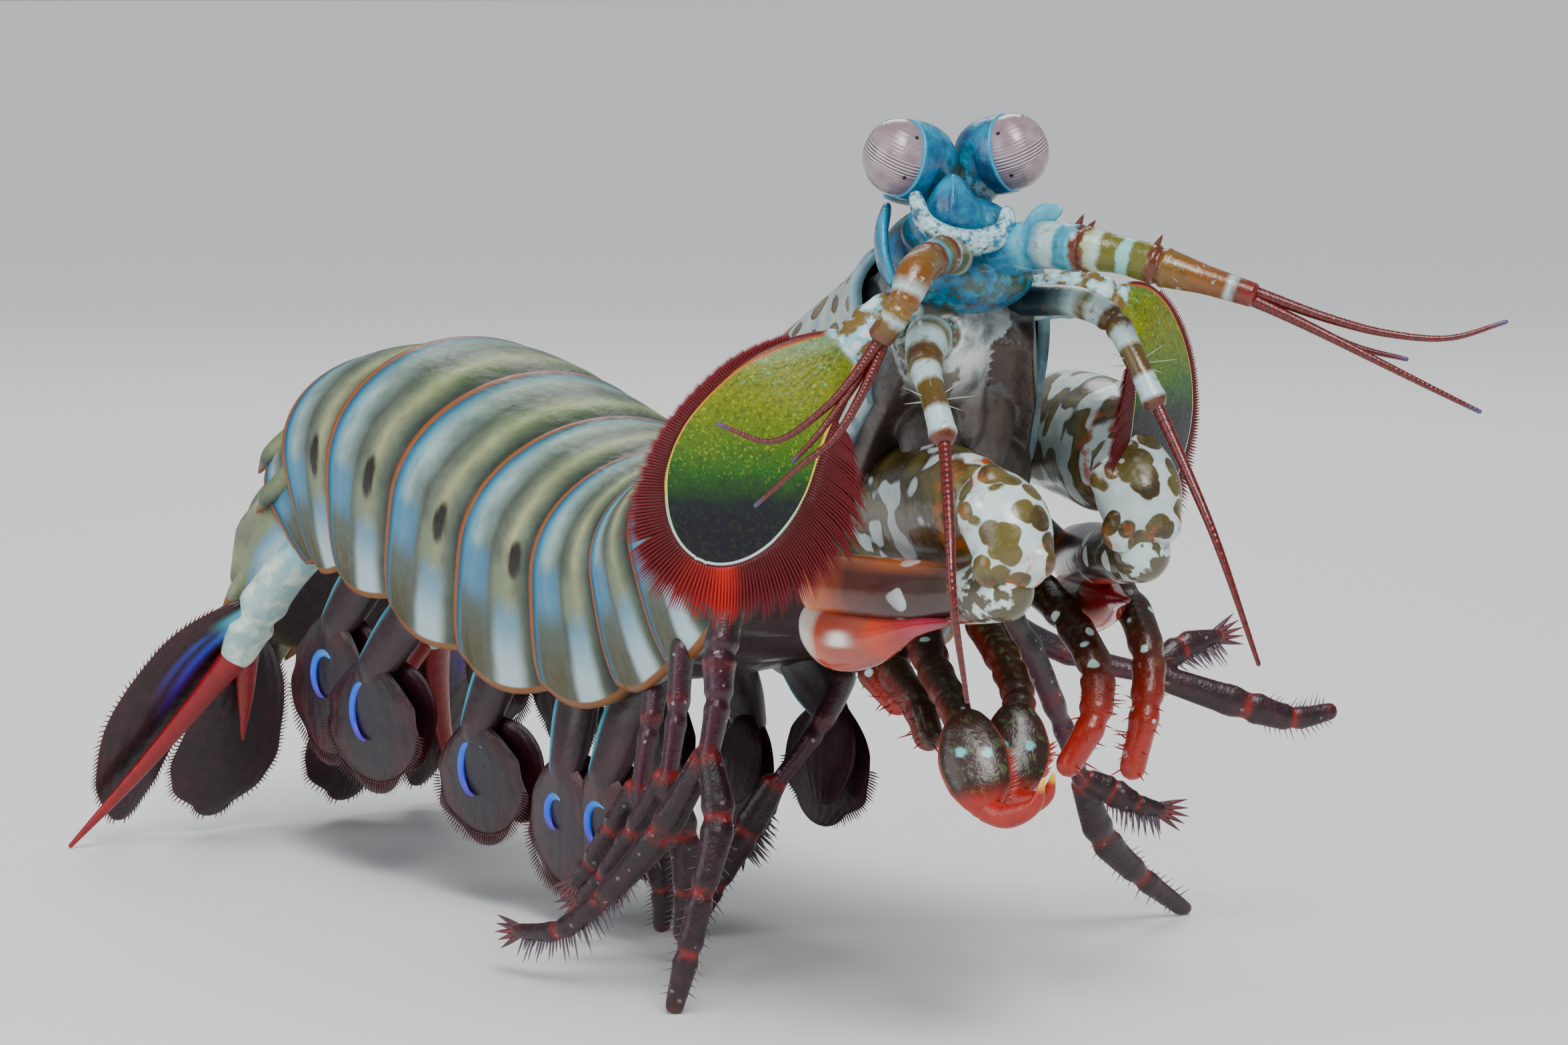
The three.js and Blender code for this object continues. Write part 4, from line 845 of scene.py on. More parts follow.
# Antennules, antennae: ringed joints that carry dark red whips.
def make_ringed():
    m = Shade("ringed", roughness=0.3, coat=0.4)
    n = m.noise(1.1, 4)
    j = m.wander(m.attr("joint"), m.noise(0.8, 3), 0.05)
    white = (0.52, 0.66, 0.66)
    olive = (0.17, 0.17, 0.012)
    rust = (0.17, 0.04, 0.004)
    cyan = (0.05, 0.42, 0.58)
    left_first = m.ramp(j, [(0.0, (0.02, 0.22, 0.4)), (0.1, (0.03, 0.3, 0.48)), (0.15, (0.16, 0.55, 0.66)),
        (0.19, (0.03, 0.26, 0.42)), (0.235, white), (0.27, white), (0.285, (0.03, 0.3, 0.42)),
        (0.325, (0.1, 0.45, 0.55)), (0.335, rust), (0.37, rust), (0.38, (0.42, 0.5, 0.3)), (0.41, white),
        (0.43, olive), (0.5, olive), (0.515, (0.3, 0.62, 0.6)), (0.545, (0.3, 0.62, 0.6)), (0.56, olive),
        (0.62, olive), (0.635, rust), (0.67, rust), (0.69, (0.22, 0.13, 0.008)), (0.8, (0.26, 0.11, 0.008)),
        (0.9, (0.25, 0.085, 0.008)), (0.925, white), (0.95, rust), (0.985, (0.24, 0.02, 0.01))])
    right_first = m.ramp(j, [(0.0, rust), (0.06, (0.5, 0.55, 0.4)), (0.1, olive), (0.18, olive), (0.2, white),
        (0.24, rust), (0.34, olive), (0.37, cyan), (0.41, rust), (0.52, (0.22, 0.13, 0.01)),
        (0.66, (0.26, 0.1, 0.008)), (0.72, white), (0.75, (0.25, 0.1, 0.008)), (0.84, (0.26, 0.17, 0.02)),
        (0.87, white), (0.9, (0.2, 0.12, 0.015)), (1.0, (0.18, 0.05, 0.01))])
    palp = m.ramp(j, [(0.0, (0.01, 0.04, 0.06)), (0.14, (0.03, 0.06, 0.08)), (0.2, (0.16, 0.22, 0.22)),
        (0.25, white), (0.32, (0.2, 0.15, 0.04)), (0.36, white), (0.44, white), (0.47, (0.13, 0.065, 0.008)),
        (0.56, (0.17, 0.1, 0.01)), (0.59, white), (0.66, white), (0.69, (0.16, 0.11, 0.012)),
        (0.81, (0.14, 0.08, 0.01)), (0.84, white), (0.95, white), (0.98, (0.18, 0.06, 0.01)),
        (1.0, (0.16, 0.03, 0.01))])
    whip = m.mix(m.wave(m.attr("whip"), 26.0), (0.13, 0.007, 0.004), (0.2, 0.01, 0.005))
    whip = m.mix(m.step(m.attr("whip"), 0.9, 1.0), whip, (0.12, 0.08, 0.2))
    color = m.mix(m.attr("kind_right"), left_first, right_first)
    color = m.mix(m.attr("kind_palp"), color, palp)
    blot = m.times(m.step(n, 0.62, 0.68), 0.6)
    color = m.mix(blot, color, m.mix(m.attr("kind_palp"), (0.42, 0.66, 0.6), (0.24, 0.13, 0.03)))
    color = m.mix((m.step(m.noise(0.9, 2), 0.62, 0.68), 0.3), color, (0.1, 0.06, 0.01))
    color = m.mix(m.attr("is_whip"), color, whip)
    color = m.mix(m.attr("pale_tip"), color, (0.55, 0.62, 0.6))
    m.bump((m.wave(m.attr("whip"), 52.0), 0.03), (m.noise(1.8, 3), 0.1), (m.noise(6.0, 3), 0.015))
    return m.finish(color, depth=0.25)


ringed = make_ringed()


def pinched(*joints, depth=0.12, width=0.07):
    """Narrower at joints, with a raised collar on either side."""
    def shape(j, a):
        half, away = 0.5 * depth, 2.2 * width
        return 1 + sum(
            -depth * bell(j, at, width) + half * bell(j, at - away, width) + half * bell(j, at + away, width)
            for at in joints)
    return shape


def bristle(build, root, bend, tip, wide, thick, normal, rows, cols, **masks):
    """A tapered bristle from a root past a bend to its tip."""
    t = np.linspace(0, 1, rows)[:, None]
    path = (1 - t) ** 2 * vec(root) + 2 * t * (1 - t) * vec(bend) + t**2 * vec(tip)
    along = unit(np.gradient(path, axis=0))
    side = unit(np.cross(along, normal))
    front = np.cross(side, along)
    a = np.linspace(0, 2 * math.pi, cols, endpoint=False)
    size = np.maximum(0.06, 1 - t**2.2)
    points = path[:, None] + (size * wide * np.cos(a))[..., None] * side[:, None]
    points = points + (size * thick * np.sin(a))[..., None] * front[:, None]
    build.grid(points, **masks)


def spine(build, root, tip, thick, **masks):
    """A straight round bristle."""
    bristle(build, root, (vec(root) + vec(tip)) / 2, tip, thick, thick, (0.31, 0.22, 0.92), 6, 7, **masks)


def whip_grid(build, path):
    """A whip of an antennule, thinner towards its tip."""
    n = len(path)
    sizes = [[0.42 - 0.26 * (i / (n - 1)) ** 0.8] * 2 for i in range(n)]
    points, extra = limb_grid(path, sizes, rows=160, cols=14)
    build.grid(points, whip=extra["along"], is_whip=1.0, joint=0.5)


ANTENNULES = {
    "left": {
        "peduncle": [[-18.2, -47.4, 57.0], [-17.5, -50.8, 57.7], [-16.9, -54.9, 57.6], [-15.5, -57.4, 57.2],
            [-14.1, -59.8, 56.5], [-12.3, -62.6, 55.6], [-10.5, -65.5, 54.6]],
        "sizes": [1.9, 1.7, 1.6, 1.3, 1.35, 1.0, 0.85],
        "whips": [
            [[-10.5, -65.3, 54.9], [-7.6, -69.4, 53.2], [-5.1, -72.7, 52.2], [-1.9, -75.4, 51.9],
                [1.4, -77.6, 53.0]],
            [[-10.6, -65.5, 54.3], [-8.2, -69.3, 52.3], [-5.9, -72.2, 50.5], [-3.0, -75.0, 48.5],
                [-0.4, -77.0, 46.9]],
            [[-10.8, -65.2, 54.4], [-8.5, -68.3, 52.7], [-6.0, -70.8, 51.2], [-3.6, -73.2, 50.4]],
        ],
    },
    "right": {
        "peduncle": [[-22.0, -47.6, 56.8], [-24.6, -49.4, 57.2], [-27.2, -51.1, 57.0], [-29.8, -52.6, 56.2],
            [-31.3, -52.9, 54.0], [-32.1, -51.5, 51.8]],
        "sizes": [1.25, 1.3, 1.25, 1.3, 1.0, 0.9],
        "whips": [
            [[-32.2, -51.7, 51.8], [-33.8, -51.0, 49.4], [-35.4, -49.7, 47.1], [-37.2, -46.4, 44.8],
                [-38.9, -42.4, 45.8]],
            [[-32.1, -51.2, 51.3], [-34.0, -50.7, 48.3], [-35.8, -49.8, 45.6], [-36.9, -48.2, 43.5]],
            [[-31.8, -51.6, 51.4], [-33.6, -51.4, 48.0], [-35.2, -50.6, 45.2], [-36.9, -48.9, 43.2],
                [-38.3, -45.8, 40.4]],
        ],
    },
}
for side, data in ANTENNULES.items():
    build = Build()
    last = len(data["peduncle"]) - 1
    marks = (2.05, 4.0) if side == "left" else (1.3, 2.2, 4.0)
    points, extra = limb_grid(data["peduncle"], [[r, r] for r in data["sizes"]], rows=220, cols=48,
        ends=(0.6, 0.5), shape=pinched(*marks, depth=0.1, width=0.06))
    build.grid(points, joint=extra["joint"] / last, kind_right=float(side == "right"))
    for path in data["whips"]:
        whip_grid(build, path)
    if side == "left":
        leaf, _ = limb_grid([[-17.4, -50.6, 58.6], [-17.2, -51.6, 59.8], [-16.8, -52.6, 60.2]],
            [[1.1, 0.35], [0.9, 0.3], [0.3, 0.15]], normal=FACING, rows=24, cols=18)
        build.grid(leaf, joint=0.16)
        spine(build, [-14.2, -59.2, 57.4], [-13.9, -59.9, 58.7], 0.28, joint=0.65)
        spine(build, [-17.0, -54.3, 58.7], [-16.7, -54.9, 60.0], 0.3, joint=0.36)
        spine(build, [-16.6, -55.0, 58.7], [-16.2, -55.6, 59.6], 0.25, joint=0.36)
    build.object(f"antennule_{side}.joints", ringed, f"antennule_{side}", "ringed")

ANTENNAE = {
    "right": {
        "palp": [[-20.8, -43.6, 50.6], [-25.0, -48.2, 51.4], [-28.5, -52.0, 50.0], [-30.7, -55.7, 47.9],
            [-31.6, -57.9, 45.3]],
        "sizes": [1.6, 1.6, 1.15, 0.9, 0.95],
        "whip": [[-31.5, -57.7, 45.5], [-34.3, -61.6, 40.5], [-35.7, -63.7, 35.5], [-34.1, -63.3, 28.5]],
    },
    "left": {
        "palp": [[-14.6, -45.0, 53.4], [-14.0, -51.4, 53.6], [-13.5, -54.5, 52.4], [-13.8, -57.2, 49.7],
            [-13.5, -59.0, 46.8]],
        "sizes": [1.1, 1.1, 0.95, 0.8, 0.88],
        "whip": [[-13.5, -58.9, 47.0], [-13.7, -61.9, 43.1], [-13.7, -65.1, 38.3], [-11.9, -67.7, 29.6]],
    },
}
for side, data in ANTENNAE.items():
    build = Build()
    last = len(data["palp"]) - 1
    points, extra = limb_grid(data["palp"], [[r, r] for r in data["sizes"]], rows=170, cols=44,
        ends=(0.6, 0.7), shape=pinched(2.0, 4.0, depth=0.14, width=0.09))
    build.grid(points, joint=extra["joint"] / last, kind_palp=1.0)
    points, extra = limb_grid(data["whip"], [[0.45, 0.45], [0.38, 0.38], [0.3, 0.3], [0.16, 0.16]], rows=240,
        cols=16)
    build.grid(points, whip=extra["along"] * 0.85, is_whip=1.0)
    end = vec(data["palp"][-2])
    for a in range(7):
        out = VIEW_RIGHT * math.cos(a * 0.9) + VIEW_UP * math.sin(a * 0.9) * 0.5
        spine(build, end + out * 0.6, end + out * 2.6 + vec([0, -0.4, 0.3]), 0.05, joint=0.45, kind_palp=1.0,
            pale_tip=0.4)
    build.object(f"antenna_{side}.joints", ringed, f"antenna_{side}", "ringed")


# Antennal scales: a bright oval in a maroon rim, with a red fringe.
def make_scale():
    m = Shade("scale_blade", roughness=0.42, coat=0.06, specular=0.3)
    edge, height = m.attr("edge"), m.attr("height")
    wander = m.times(m.math("SUBTRACT", m.noise(0.9, 4), 0.5), 0.14)
    h = m.math("ADD", height, wander)
    body = m.ramp(h, [(0.0, (0.001, 0.001, 0.005)), (0.28, (0.001, 0.001, 0.008)),
        (0.35, (0.002, 0.008, 0.01)), (0.4, (0.004, 0.035, 0.004)), (0.48, (0.01, 0.095, 0.003)),
        (0.6, (0.075, 0.15, 0.003)), (0.76, (0.16, 0.19, 0.003)), (0.9, (0.14, 0.17, 0.004)),
        (1.0, (0.05, 0.16, 0.04))])
    sparkle = m.step(m.noise(4.2, 2, rough=0.7), 0.55, 0.72)
    bright = m.times(sparkle, m.step(height, 0.34, 0.62))
    body = m.mix((bright, 0.7), body, (0.4, 0.46, 0.015))
    dark = m.step(m.noise(3.1, 3), 0.5, 0.35)
    body = m.mix((dark, 0.45), body, (0.015, 0.04, 0.004))
    cyan = m.times(m.step(m.noise(2.2, 3), 0.6, 0.72), m.step(height, 0.6, 0.95))
    body = m.mix(cyan, body, (0.06, 0.42, 0.3))
    vein = m.times(m.attr("vein"), m.step(height, 0.4, 0.7))
    body = m.mix((vein, 0.3), body, (0.03, 0.05, 0.01))
    line = m.ramp(height, [(0.0, (0.5, 0.45, 0.75)), (0.12, (0.62, 0.78, 0.8)), (0.28, (0.45, 0.8, 0.55)),
        (0.4, (0.8, 0.72, 0.1)), (0.62, (0.85, 0.42, 0.03)), (0.9, (0.62, 0.16, 0.02)),
        (1.0, (0.4, 0.08, 0.02))])
    rim = m.mix(m.noise(1.4, 3), (0.05, 0.002, 0.004), (0.13, 0.005, 0.008))
    color = m.mix(m.step(edge, 0.6, 0.66), line, body)
    color = m.mix(m.step(edge, 0.47, 0.41), color, rim)
    red = m.ramp(m.attr("tuft"), [(0.0, (0.07, 0.002, 0.003)), (0.5, (0.11, 0.003, 0.005)),
        (1.0, (0.2, 0.006, 0.018))])
    red = m.mix(m.attr("bright"), red, (0.46, 0.01, 0.006))
    color = m.mix(m.attr("fringe"), color, red)
    color = m.mix(m.attr("stalk"), color, m.ramp(m.noise(0.75, 3), [(0.4, (0.6, 0.72, 0.72)),
        (0.5, (0.2, 0.48, 0.56)), (0.56, (0.16, 0.1, 0.02))]))
    m.bump((m.noise(3.6, 3), 0.05), (m.attr("vein"), 0.02), (m.step(edge, 0.4, 0.62), 0.15))
    return m.finish(color, m.ramp(m.noise(3.0, 2), [(0.3, 0.34), (0.7, 0.5)]))


scale_skin = make_scale()
# Inner is 1 where the blade's width direction points away from the head, and -1 where it points to it.
SCALES = {
    "right": {
        "stalk": [[-20.4, -42.2, 52.0], [-23.5, -42.8, 52.8], [-26.5, -43.2, 51.5], [-27.6, -42.8, 50.2]],
        "blade": [[-27.6, -42.6, 50.9], [-30.2, -42.3, 49.0], [-33.2, -41.6, 46.3], [-35.0, -40.2, 42.7],
            [-35.5, -38.15, 38.8]],
        "normal": FACING.tolist(),
        "inner": 1,
    },
    "left": {
        "stalk": [[-13.4, -44.4, 53.4], [-10.6, -48.0, 54.0], [-9.2, -49.6, 53.6]],
        "blade": [[-9.4, -49.7, 53.6], [-7.4, -50.5, 52.3], [-5.7, -50.3, 49.3], [-4.7, -49.7, 45.6],
            [-4.4, -48.85, 41.1]],
        "normal": [0.33, -0.94, 0.1],
        "inner": -1,
    },
}
FRINGE_SPACING = 0.105
BLADE_SIZES = [[1.4, 0.7], [3.1, 0.5], [4.55, 0.42], [5.35, 0.4], [5.3, 0.34]]
# Height at which the blade turns dark, and the height of its top.
BLADE_TONES = {"right": (33.6, 51.5), "left": (40.2, 54.8)}
for side, data in SCALES.items():
    build = Build()
    normal = unit(data["normal"])
    rows, cols = 190, 132
    points, extra = limb_grid(data["blade"], BLADE_SIZES, normal=normal, rows=rows, cols=cols,
        ends=(0.5, 1.5), lens=1.3)
    # The outline runs down the inner edge, round the tip and up the outer edge.
    edges = (cols // 2, 0) if data["inner"] > 0 else (0, cols // 2)
    outline = np.concatenate([points[:, edges[0]], points[:, edges[1]][::-1]])
    distance = nearest(points.reshape(-1, 3), outline)[1].reshape(rows, cols)
    low, high = BLADE_TONES[side]
    across, u = extra["side"], extra["along"]
    veins = sum(bell(across - spread * smooth(u, 0.0, 0.45), 0, 0.018) for spread in (-0.5, -0.22, 0.08, 0.38,
        0.62))
    veins = veins * smooth(u, 0.75, 0.5)
    build.grid(points, edge=distance, height=(points[..., 2] - low) / (high - low), vein=np.clip(veins, 0, 1),
        stalk=smooth(u, 0.075, 0.04))
    stalk_points, _ = limb_grid(data["stalk"], [[1.7, 1.7], [1.6, 1.5], [1.7, 1.3],
        [1.4, 0.9]][4 - len(data["stalk"]):], normal=normal, rows=70, cols=40, shape=pinched(1.0, 2.0,
        depth=0.12, width=0.12))
    build.grid(stalk_points, stalk=1.0)
    # Bristles of the fringe stand on the outline in two layers.
    # Share is the place on the outline: 0 to 1 down the inner edge and 1 to 2 up the outer edge.
    arc = arc_length(outline)
    share = np.concatenate([np.linspace(0, 1, rows), np.linspace(1, 2, rows)])
    stations_at = [0.28, 0.4, 0.58, 0.75, 0.9, 1.0, 1.08, 1.16, 1.28, 1.45, 1.8]
    lengths_at = [1.8, 3.6, 4.8, 4.5, 3.8, 3.6, 3.3, 2.6, 1.5, 0.7, 0.35]
    start, stop = np.interp([0.28, 1.8], share, arc)
    for k, place_on in enumerate(np.arange(start, stop, FRINGE_SPACING)):
        at, ahead, behind = (
            np.array([np.interp(place_on + d, arc, outline[:, c]) for c in range(3)]) for d in (0.0, 0.3,
                -0.3))
        run = unit(ahead - behind)
        outward = -unit(np.cross(run, normal)) * data["inner"]
        where = np.interp(place_on, arc, share)
        reach = np.interp(where, stations_at, lengths_at) * (1 if side == "right" else 0.62)
        reach *= 0.84 + 0.2 * (k % 9) / 9 + 0.08 * rng.random()
        lean = run * (0.45 if where < 1 else -0.1) * (1 if where < 0.9 else smooth(where, 1.0, 0.9))
        droop = np.array([0, 0, -0.25]) * (where < 1.1)
        layer = normal * (0.1 if k % 2 else -0.1)
        root = at - outward * 0.5 + layer
        bend = root + unit(outward + lean * 0.4) * (reach + 0.5) * 0.55
        tip = bend + unit(outward * 0.8 + lean + droop) * (reach + 0.5) * 0.5 + layer
        bristle(build, root, bend, tip, 0.125, 0.07, normal, rows=8, cols=6, fringe=1.0, tuft=np.linspace(0,
            1, 8)[:, None], bright=0.9 * bell(where, 0.965, 0.035))
    build.object(f"antennal_scale_{side}.blade", scale_skin, f"antennal_scale_{side}", "scale_blade")


# Raptorial claws: blotched upper joints, a smooth propodus and the swollen club.
def make_blotched():
    m = Shade("blotched_claw", roughness=0.26, coat=0.3)
    n = m.noise(0.34, 1.5, where=m.warped(0.8, 0.4), rough=0.4)
    spots = m.cells(0.5, where=m.warped(0.8, 0.5))
    patch = m.mix(m.attr("spotted"), m.step(n, 0.555, 0.5), m.step(spots, 0.56, 0.5))
    ring = m.times(m.step(n, 0.47, 0.51), m.step(n, 0.56, 0.515))
    ring = m.times(ring, m.math("SUBTRACT", 1.0, m.attr("spotted")))
    white = m.mix(m.noise(0.8, 3), (0.4, 0.56, 0.58), (0.74, 0.82, 0.8))
    brown = m.mix(m.step(m.noise(0.35, 2), 0.35, 0.62), (0.05, 0.034, 0.01), (0.125, 0.098, 0.022))
    brown = m.mix((m.step(m.noise(2.4, 3), 0.52, 0.75), 0.5), brown, (0.18, 0.165, 0.06))
    color = m.mix(patch, white, brown)
    color = m.mix((ring, 0.7), color, (0.03, 0.014, 0.006))
    orange = m.times(m.attr("joint_end"), m.step(m.noise(0.8, 3), 0.48, 0.62))
    color = m.mix(orange, color, (0.42, 0.085, 0.006))
    color = m.mix(m.attr("base"), color, (0.22, 0.008, 0.004))
    m.bump((m.noise(0.5, 2), 0.16), (m.noise(3.5, 4), 0.02))
    return m.finish(color)


def make_propodus():
    m = Shade("propodus", roughness=0.24, coat=0.3)
    t = m.wander(m.attr("along"), m.noise(0.5, 3), 0.16)
    color = m.ramp(t, [(0.0, (0.1, 0.085, 0.04)), (0.14, (0.06, 0.048, 0.022)), (0.28, (0.042, 0.022, 0.016)),
        (0.55, (0.055, 0.014, 0.012)), (0.72, (0.12, 0.022, 0.01)), (0.84, (0.5, 0.075, 0.006)),
        (0.93, (0.62, 0.12, 0.008)), (1.0, (0.6, 0.16, 0.03))])
    color = m.mix((m.attr("upper"), 0.75), color, (0.52, 0.11, 0.01))
    color = m.mix(m.attr("lower"), color, (0.45, 0.015, 0.006))
    streak = m.noise(1.0, 3, where=m.combine(m.times(m.attr("along"), 3.0), m.times(m.attr("height"), 9.0)))
    color = m.mix((m.step(streak, 0.5, 0.75), 0.3), color, (0.16, 0.06, 0.055))
    spots = m.times(m.step(m.cells(0.33, where=m.warped(0.8, 0.8)), 0.3, 0.24), m.step(t, 0.62, 0.3))
    color = m.mix(spots, color, (0.8, 0.9, 0.86))
    blot = m.times(m.step(m.noise(0.55, 3), 0.5, 0.56), m.step(t, 0.24, 0.08))
    color = m.mix(blot, color, (0.62, 0.8, 0.78))
    m.bump((m.noise(0.7, 2), 0.08))
    return m.finish(color)


def make_club():
    m = Shade("club", roughness=0.18, coat=0.5)
    t = m.wander(m.attr("along"), m.noise(0.6, 3), 0.12)
    color = m.ramp(t, [(0.0, (0.8, 0.74, 0.66)), (0.12, (0.78, 0.6, 0.48)), (0.18, (0.52, 0.055, 0.01)),
        (0.3, (0.36, 0.05, 0.022)), (0.44, (0.34, 0.06, 0.032)), (0.52, (0.52, 0.045, 0.01)),
        (0.66, (0.36, 0.018, 0.022)), (0.82, (0.4, 0.012, 0.04)), (1.0, (0.16, 0.006, 0.012))])
    color = m.mix(m.attr("below"), color, (0.6, 0.045, 0.006))
    # Painted highlight: a near-white spot on the middle of the bulb.
    color = m.mix(m.attr("pale"), color, (0.93, 0.86, 0.8))
    m.bump((m.noise(0.8, 2), 0.06))
    return m.finish(color)


blotched, propodus_skin, club_skin = make_blotched(), make_propodus(), make_club()
RAPTORIALS = {
    "right": {
        "merus": [[-12.9, -19.7, 39.7], [-15.3, -29.4, 38.5], [-18.5, -41.0, 38.7], [-21.0, -49.2, 39.2]],
        "carpus": [[-21.8, -50.8, 40.2], [-23.2, -54.4, 38.8], [-23.6, -56.4, 35.7]],
        "propodus": [[-24.0, -56.2, 34.6], [-24.2, -51.2, 33.9], [-25.0, -44.0, 33.4], [-25.2, -36.4, 33.1]],
        "dactyl": [[-25.4, -36.2, 30.7], [-25.5, -39.0, 29.8], [-25.6, -42.6, 30.0], [-25.7, -47.6, 31.3],
            [-26.1, -52.0, 32.1]],
    },
    "left": {
        "merus": [[4.2, -25.1, 41.7], [1.2, -32.8, 42.4], [-2.2, -40.4, 42.3], [-5.4, -46.0, 41.9]],
        "carpus": [[-6.6, -47.8, 42.3], [-8.2, -51.2, 40.0], [-8.5, -52.4, 36.9]],
        "propodus": [[-9.0, -52.9, 35.9], [-4.7, -44.6, 34.7], [0.2, -37.1, 33.7], [5.2, -29.7, 32.5]],
        "dactyl": [[4.4, -30.0, 30.4], [3.1, -32.6, 29.6], [0.4, -37.6, 30.2], [-2.6, -42.6, 31.0],
            [-5.2, -46.8, 31.6]],
    },
}
# Place along the carpus, shift to the right and up as seen, and radius.
KNOBS = ((0.25, -0.5, 1.6, 1.5), (0.5, 0.6, -2.0, 1.3), (0.78, -1.5, -1.0, 1.5), (0.9, 1.4, 0.2, 1.2),
    (0.5, -2.1, 0.8, 1.4))
CLAW_SIZES = {
    "merus": [[3.6, 3.0], [4.7, 3.4], [4.9, 3.6], [3.9, 2.9]],
    "carpus": [[2.6, 2.5], [3.1, 3.1], [2.4, 2.5]],
    "propodus": [[2.2, 2.1], [2.15, 2.1], [2.4, 2.25], [2.5, 2.2]],
    "dactyl": [[1.9, 1.7], [2.45, 2.2], [2.0, 1.9], [0.7, 0.7], [0.25, 0.25]],
}
for side, claw in RAPTORIALS.items():
    inwards = [1.0 if side == "right" else -1.0, 0, 0.05]
    for part, joints in claw.items():
        sizes = CLAW_SIZES[part]
        name = f"raptorial_{part}_{side}"
        build = Build()
        points, extra = limb_grid(joints, sizes, normal=inwards, rows=110, cols=84)
        u = extra["along"]
        if part in ("merus", "carpus"):
            build.grid(points, joint_end=0.8 * smooth(np.abs(u - 0.5), 0.42, 0.5),
                spotted=float(part == "carpus"), base=smooth(u, 0.1, 0.02) * (part == "merus"))
            if part == "carpus":
                # Knobs at the hinge of the carpus.
                f = Curve(joints)
                for t, dx, dz, r in KNOBS:
                    at = f(t)[0] + VIEW_RIGHT * dx + VIEW_UP * dz + VIEW_BACK * 1.1
                    build.grid(ball_grid(at, [r, r, r * 1.1], FACING, 30, 40)[0], joint_end=0.35, spotted=1.0)
                build.fused(0.2, 5)
            build.object(name + ".skin", blotched, name, "claw")
        elif part == "propodus":
            level = extra["side"] * np.sign((np.cross(vec(joints[-1]) - vec(joints[0]), inwards) @ UP))
            build.grid(points, along=u, height=extra["around"], upper=smooth(level, 0.55, 0.95) * smooth(u,
                0.15, 0.6), lower=smooth(-level, 0.72, 0.97) * smooth(u, 0.1, 0.3))
            build.object(name + ".skin", propodus_skin, name, "claw")
        else:
            level = points[..., 2] - np.interp(u, [0, 0.25, 0.5, 0.75, 1], [p[2] for p in joints])
            # Pale marks a near-white spot on the middle of the bulb, a painted highlight.
            pale = bell(u, 0.33, 0.06) * smooth(level, -0.6, -0.2) * smooth(level, 0.9, 0.2) * 1.2
            build.grid(points, along=u, below=smooth(-level, 1.6, 2.3) * 0.9 * smooth(u, 0.5, 0.2),
                pale=np.clip(pale, 0, 1))
            build.object(name + ".skin", club_skin, name, "club")


# Small maxillipeds: dark brown with pale blue spots and red edges.
def make_maxilliped():
    m = Shade("maxilliped", roughness=0.34, coat=0.2)
    body = m.mix(m.noise(1.0, 4), (0.014, 0.004, 0.003), (0.06, 0.02, 0.008))
    body = m.mix(m.step(m.noise(1.6, 3), 0.54, 0.66), body, (0.07, 0.09, 0.03))
    color = m.mix(m.attr("red"), body, m.mix(m.noise(1.4, 3), (0.26, 0.006, 0.004), (0.5, 0.03, 0.008)))
    spot = m.step(m.cells(0.42, where=m.warped(0.6, 0.7)), 0.2, 0.13)
    color = m.mix((spot, m.attr("spotted")), color, (0.62, 0.86, 0.84))
    color = m.mix(m.attr("spot"), color, (0.18, 0.62, 0.58))
    color = m.mix(m.attr("tip"), color, (0.85, 0.5, 0.06))
    m.bump((m.noise(1.2, 3), 0.12), (m.noise(5.0, 3), 0.02))
    return m.finish(color, depth=0.1)


maxilliped_skin = make_maxilliped()
MAXILLIPEDS = {
    "maxilliped_3_right": {
        "joints": [[-12.6, -31.6, 32.6], [-13.4, -33.4, 29.5], [-16.7, -38.8, 26.9], [-19.7, -44.3, 25.3],
            [-21.4, -48.0, 23.4]],
        "disc": [[-21.4, -48.0, 24.4], [-21.8, -49.4, 21.9], [-22.1, -50.6, 20.0], [-22.1, -51.0, 18.5]],
        "hook": [[-22.1, -50.8, 18.6], [-21.7, -53.0, 18.3], [-21.0, -55.0, 19.3], [-20.7, -55.6, 21.2]],
    },
    "maxilliped_3_left": {
        "joints": [[-8.4, -32.6, 33.0], [-8.7, -34.5, 29.7], [-11.2, -40.6, 26.6], [-13.2, -44.2, 24.8],
            [-14.4, -45.6, 23.4]],
        "disc": [[-14.4, -45.4, 24.0], [-15.2, -46.2, 21.4], [-16.2, -46.9, 19.7], [-16.6, -47.1, 18.3]],
        "hook": [[-16.6, -47.1, 18.6], [-16.2, -48.9, 18.2], [-15.7, -50.2, 18.9], [-15.4, -50.6, 20.4]],
    },
    "maxilliped_4_right": { "joints": [[-10.6, -26.6, 31.6], [-10.8, -27.9, 28.5], [-14.6, -31.7, 25.9],
        [-16.4, -36.9, 23.7], [-17.2, -39.1, 21.4]] },
    "maxilliped_4_left": { "joints": [[-3.0, -30.0, 35.0], [-1.8, -32.6, 31.4], [-3.5, -38.6, 29.2],
        [-4.8, -43.1, 25.9], [-6.5, -44.7, 22.8], [-8.3, -43.8, 19.2]] },
    "maxilliped_5_right": { "joints": [[-9.4, -21.4, 31.4], [-9.2, -22.3, 27.6], [-11.7, -25.5, 25.0],
        [-12.4, -29.9, 22.6]] },
    "maxilliped_5_left": { "joints": [[2.4, -26.6, 35.4], [4.3, -30.0, 32.3], [3.9, -36.6, 30.0],
        [2.2, -40.9, 26.3], [0.5, -42.6, 22.9], [-0.6, -42.3, 18.0]] },
}
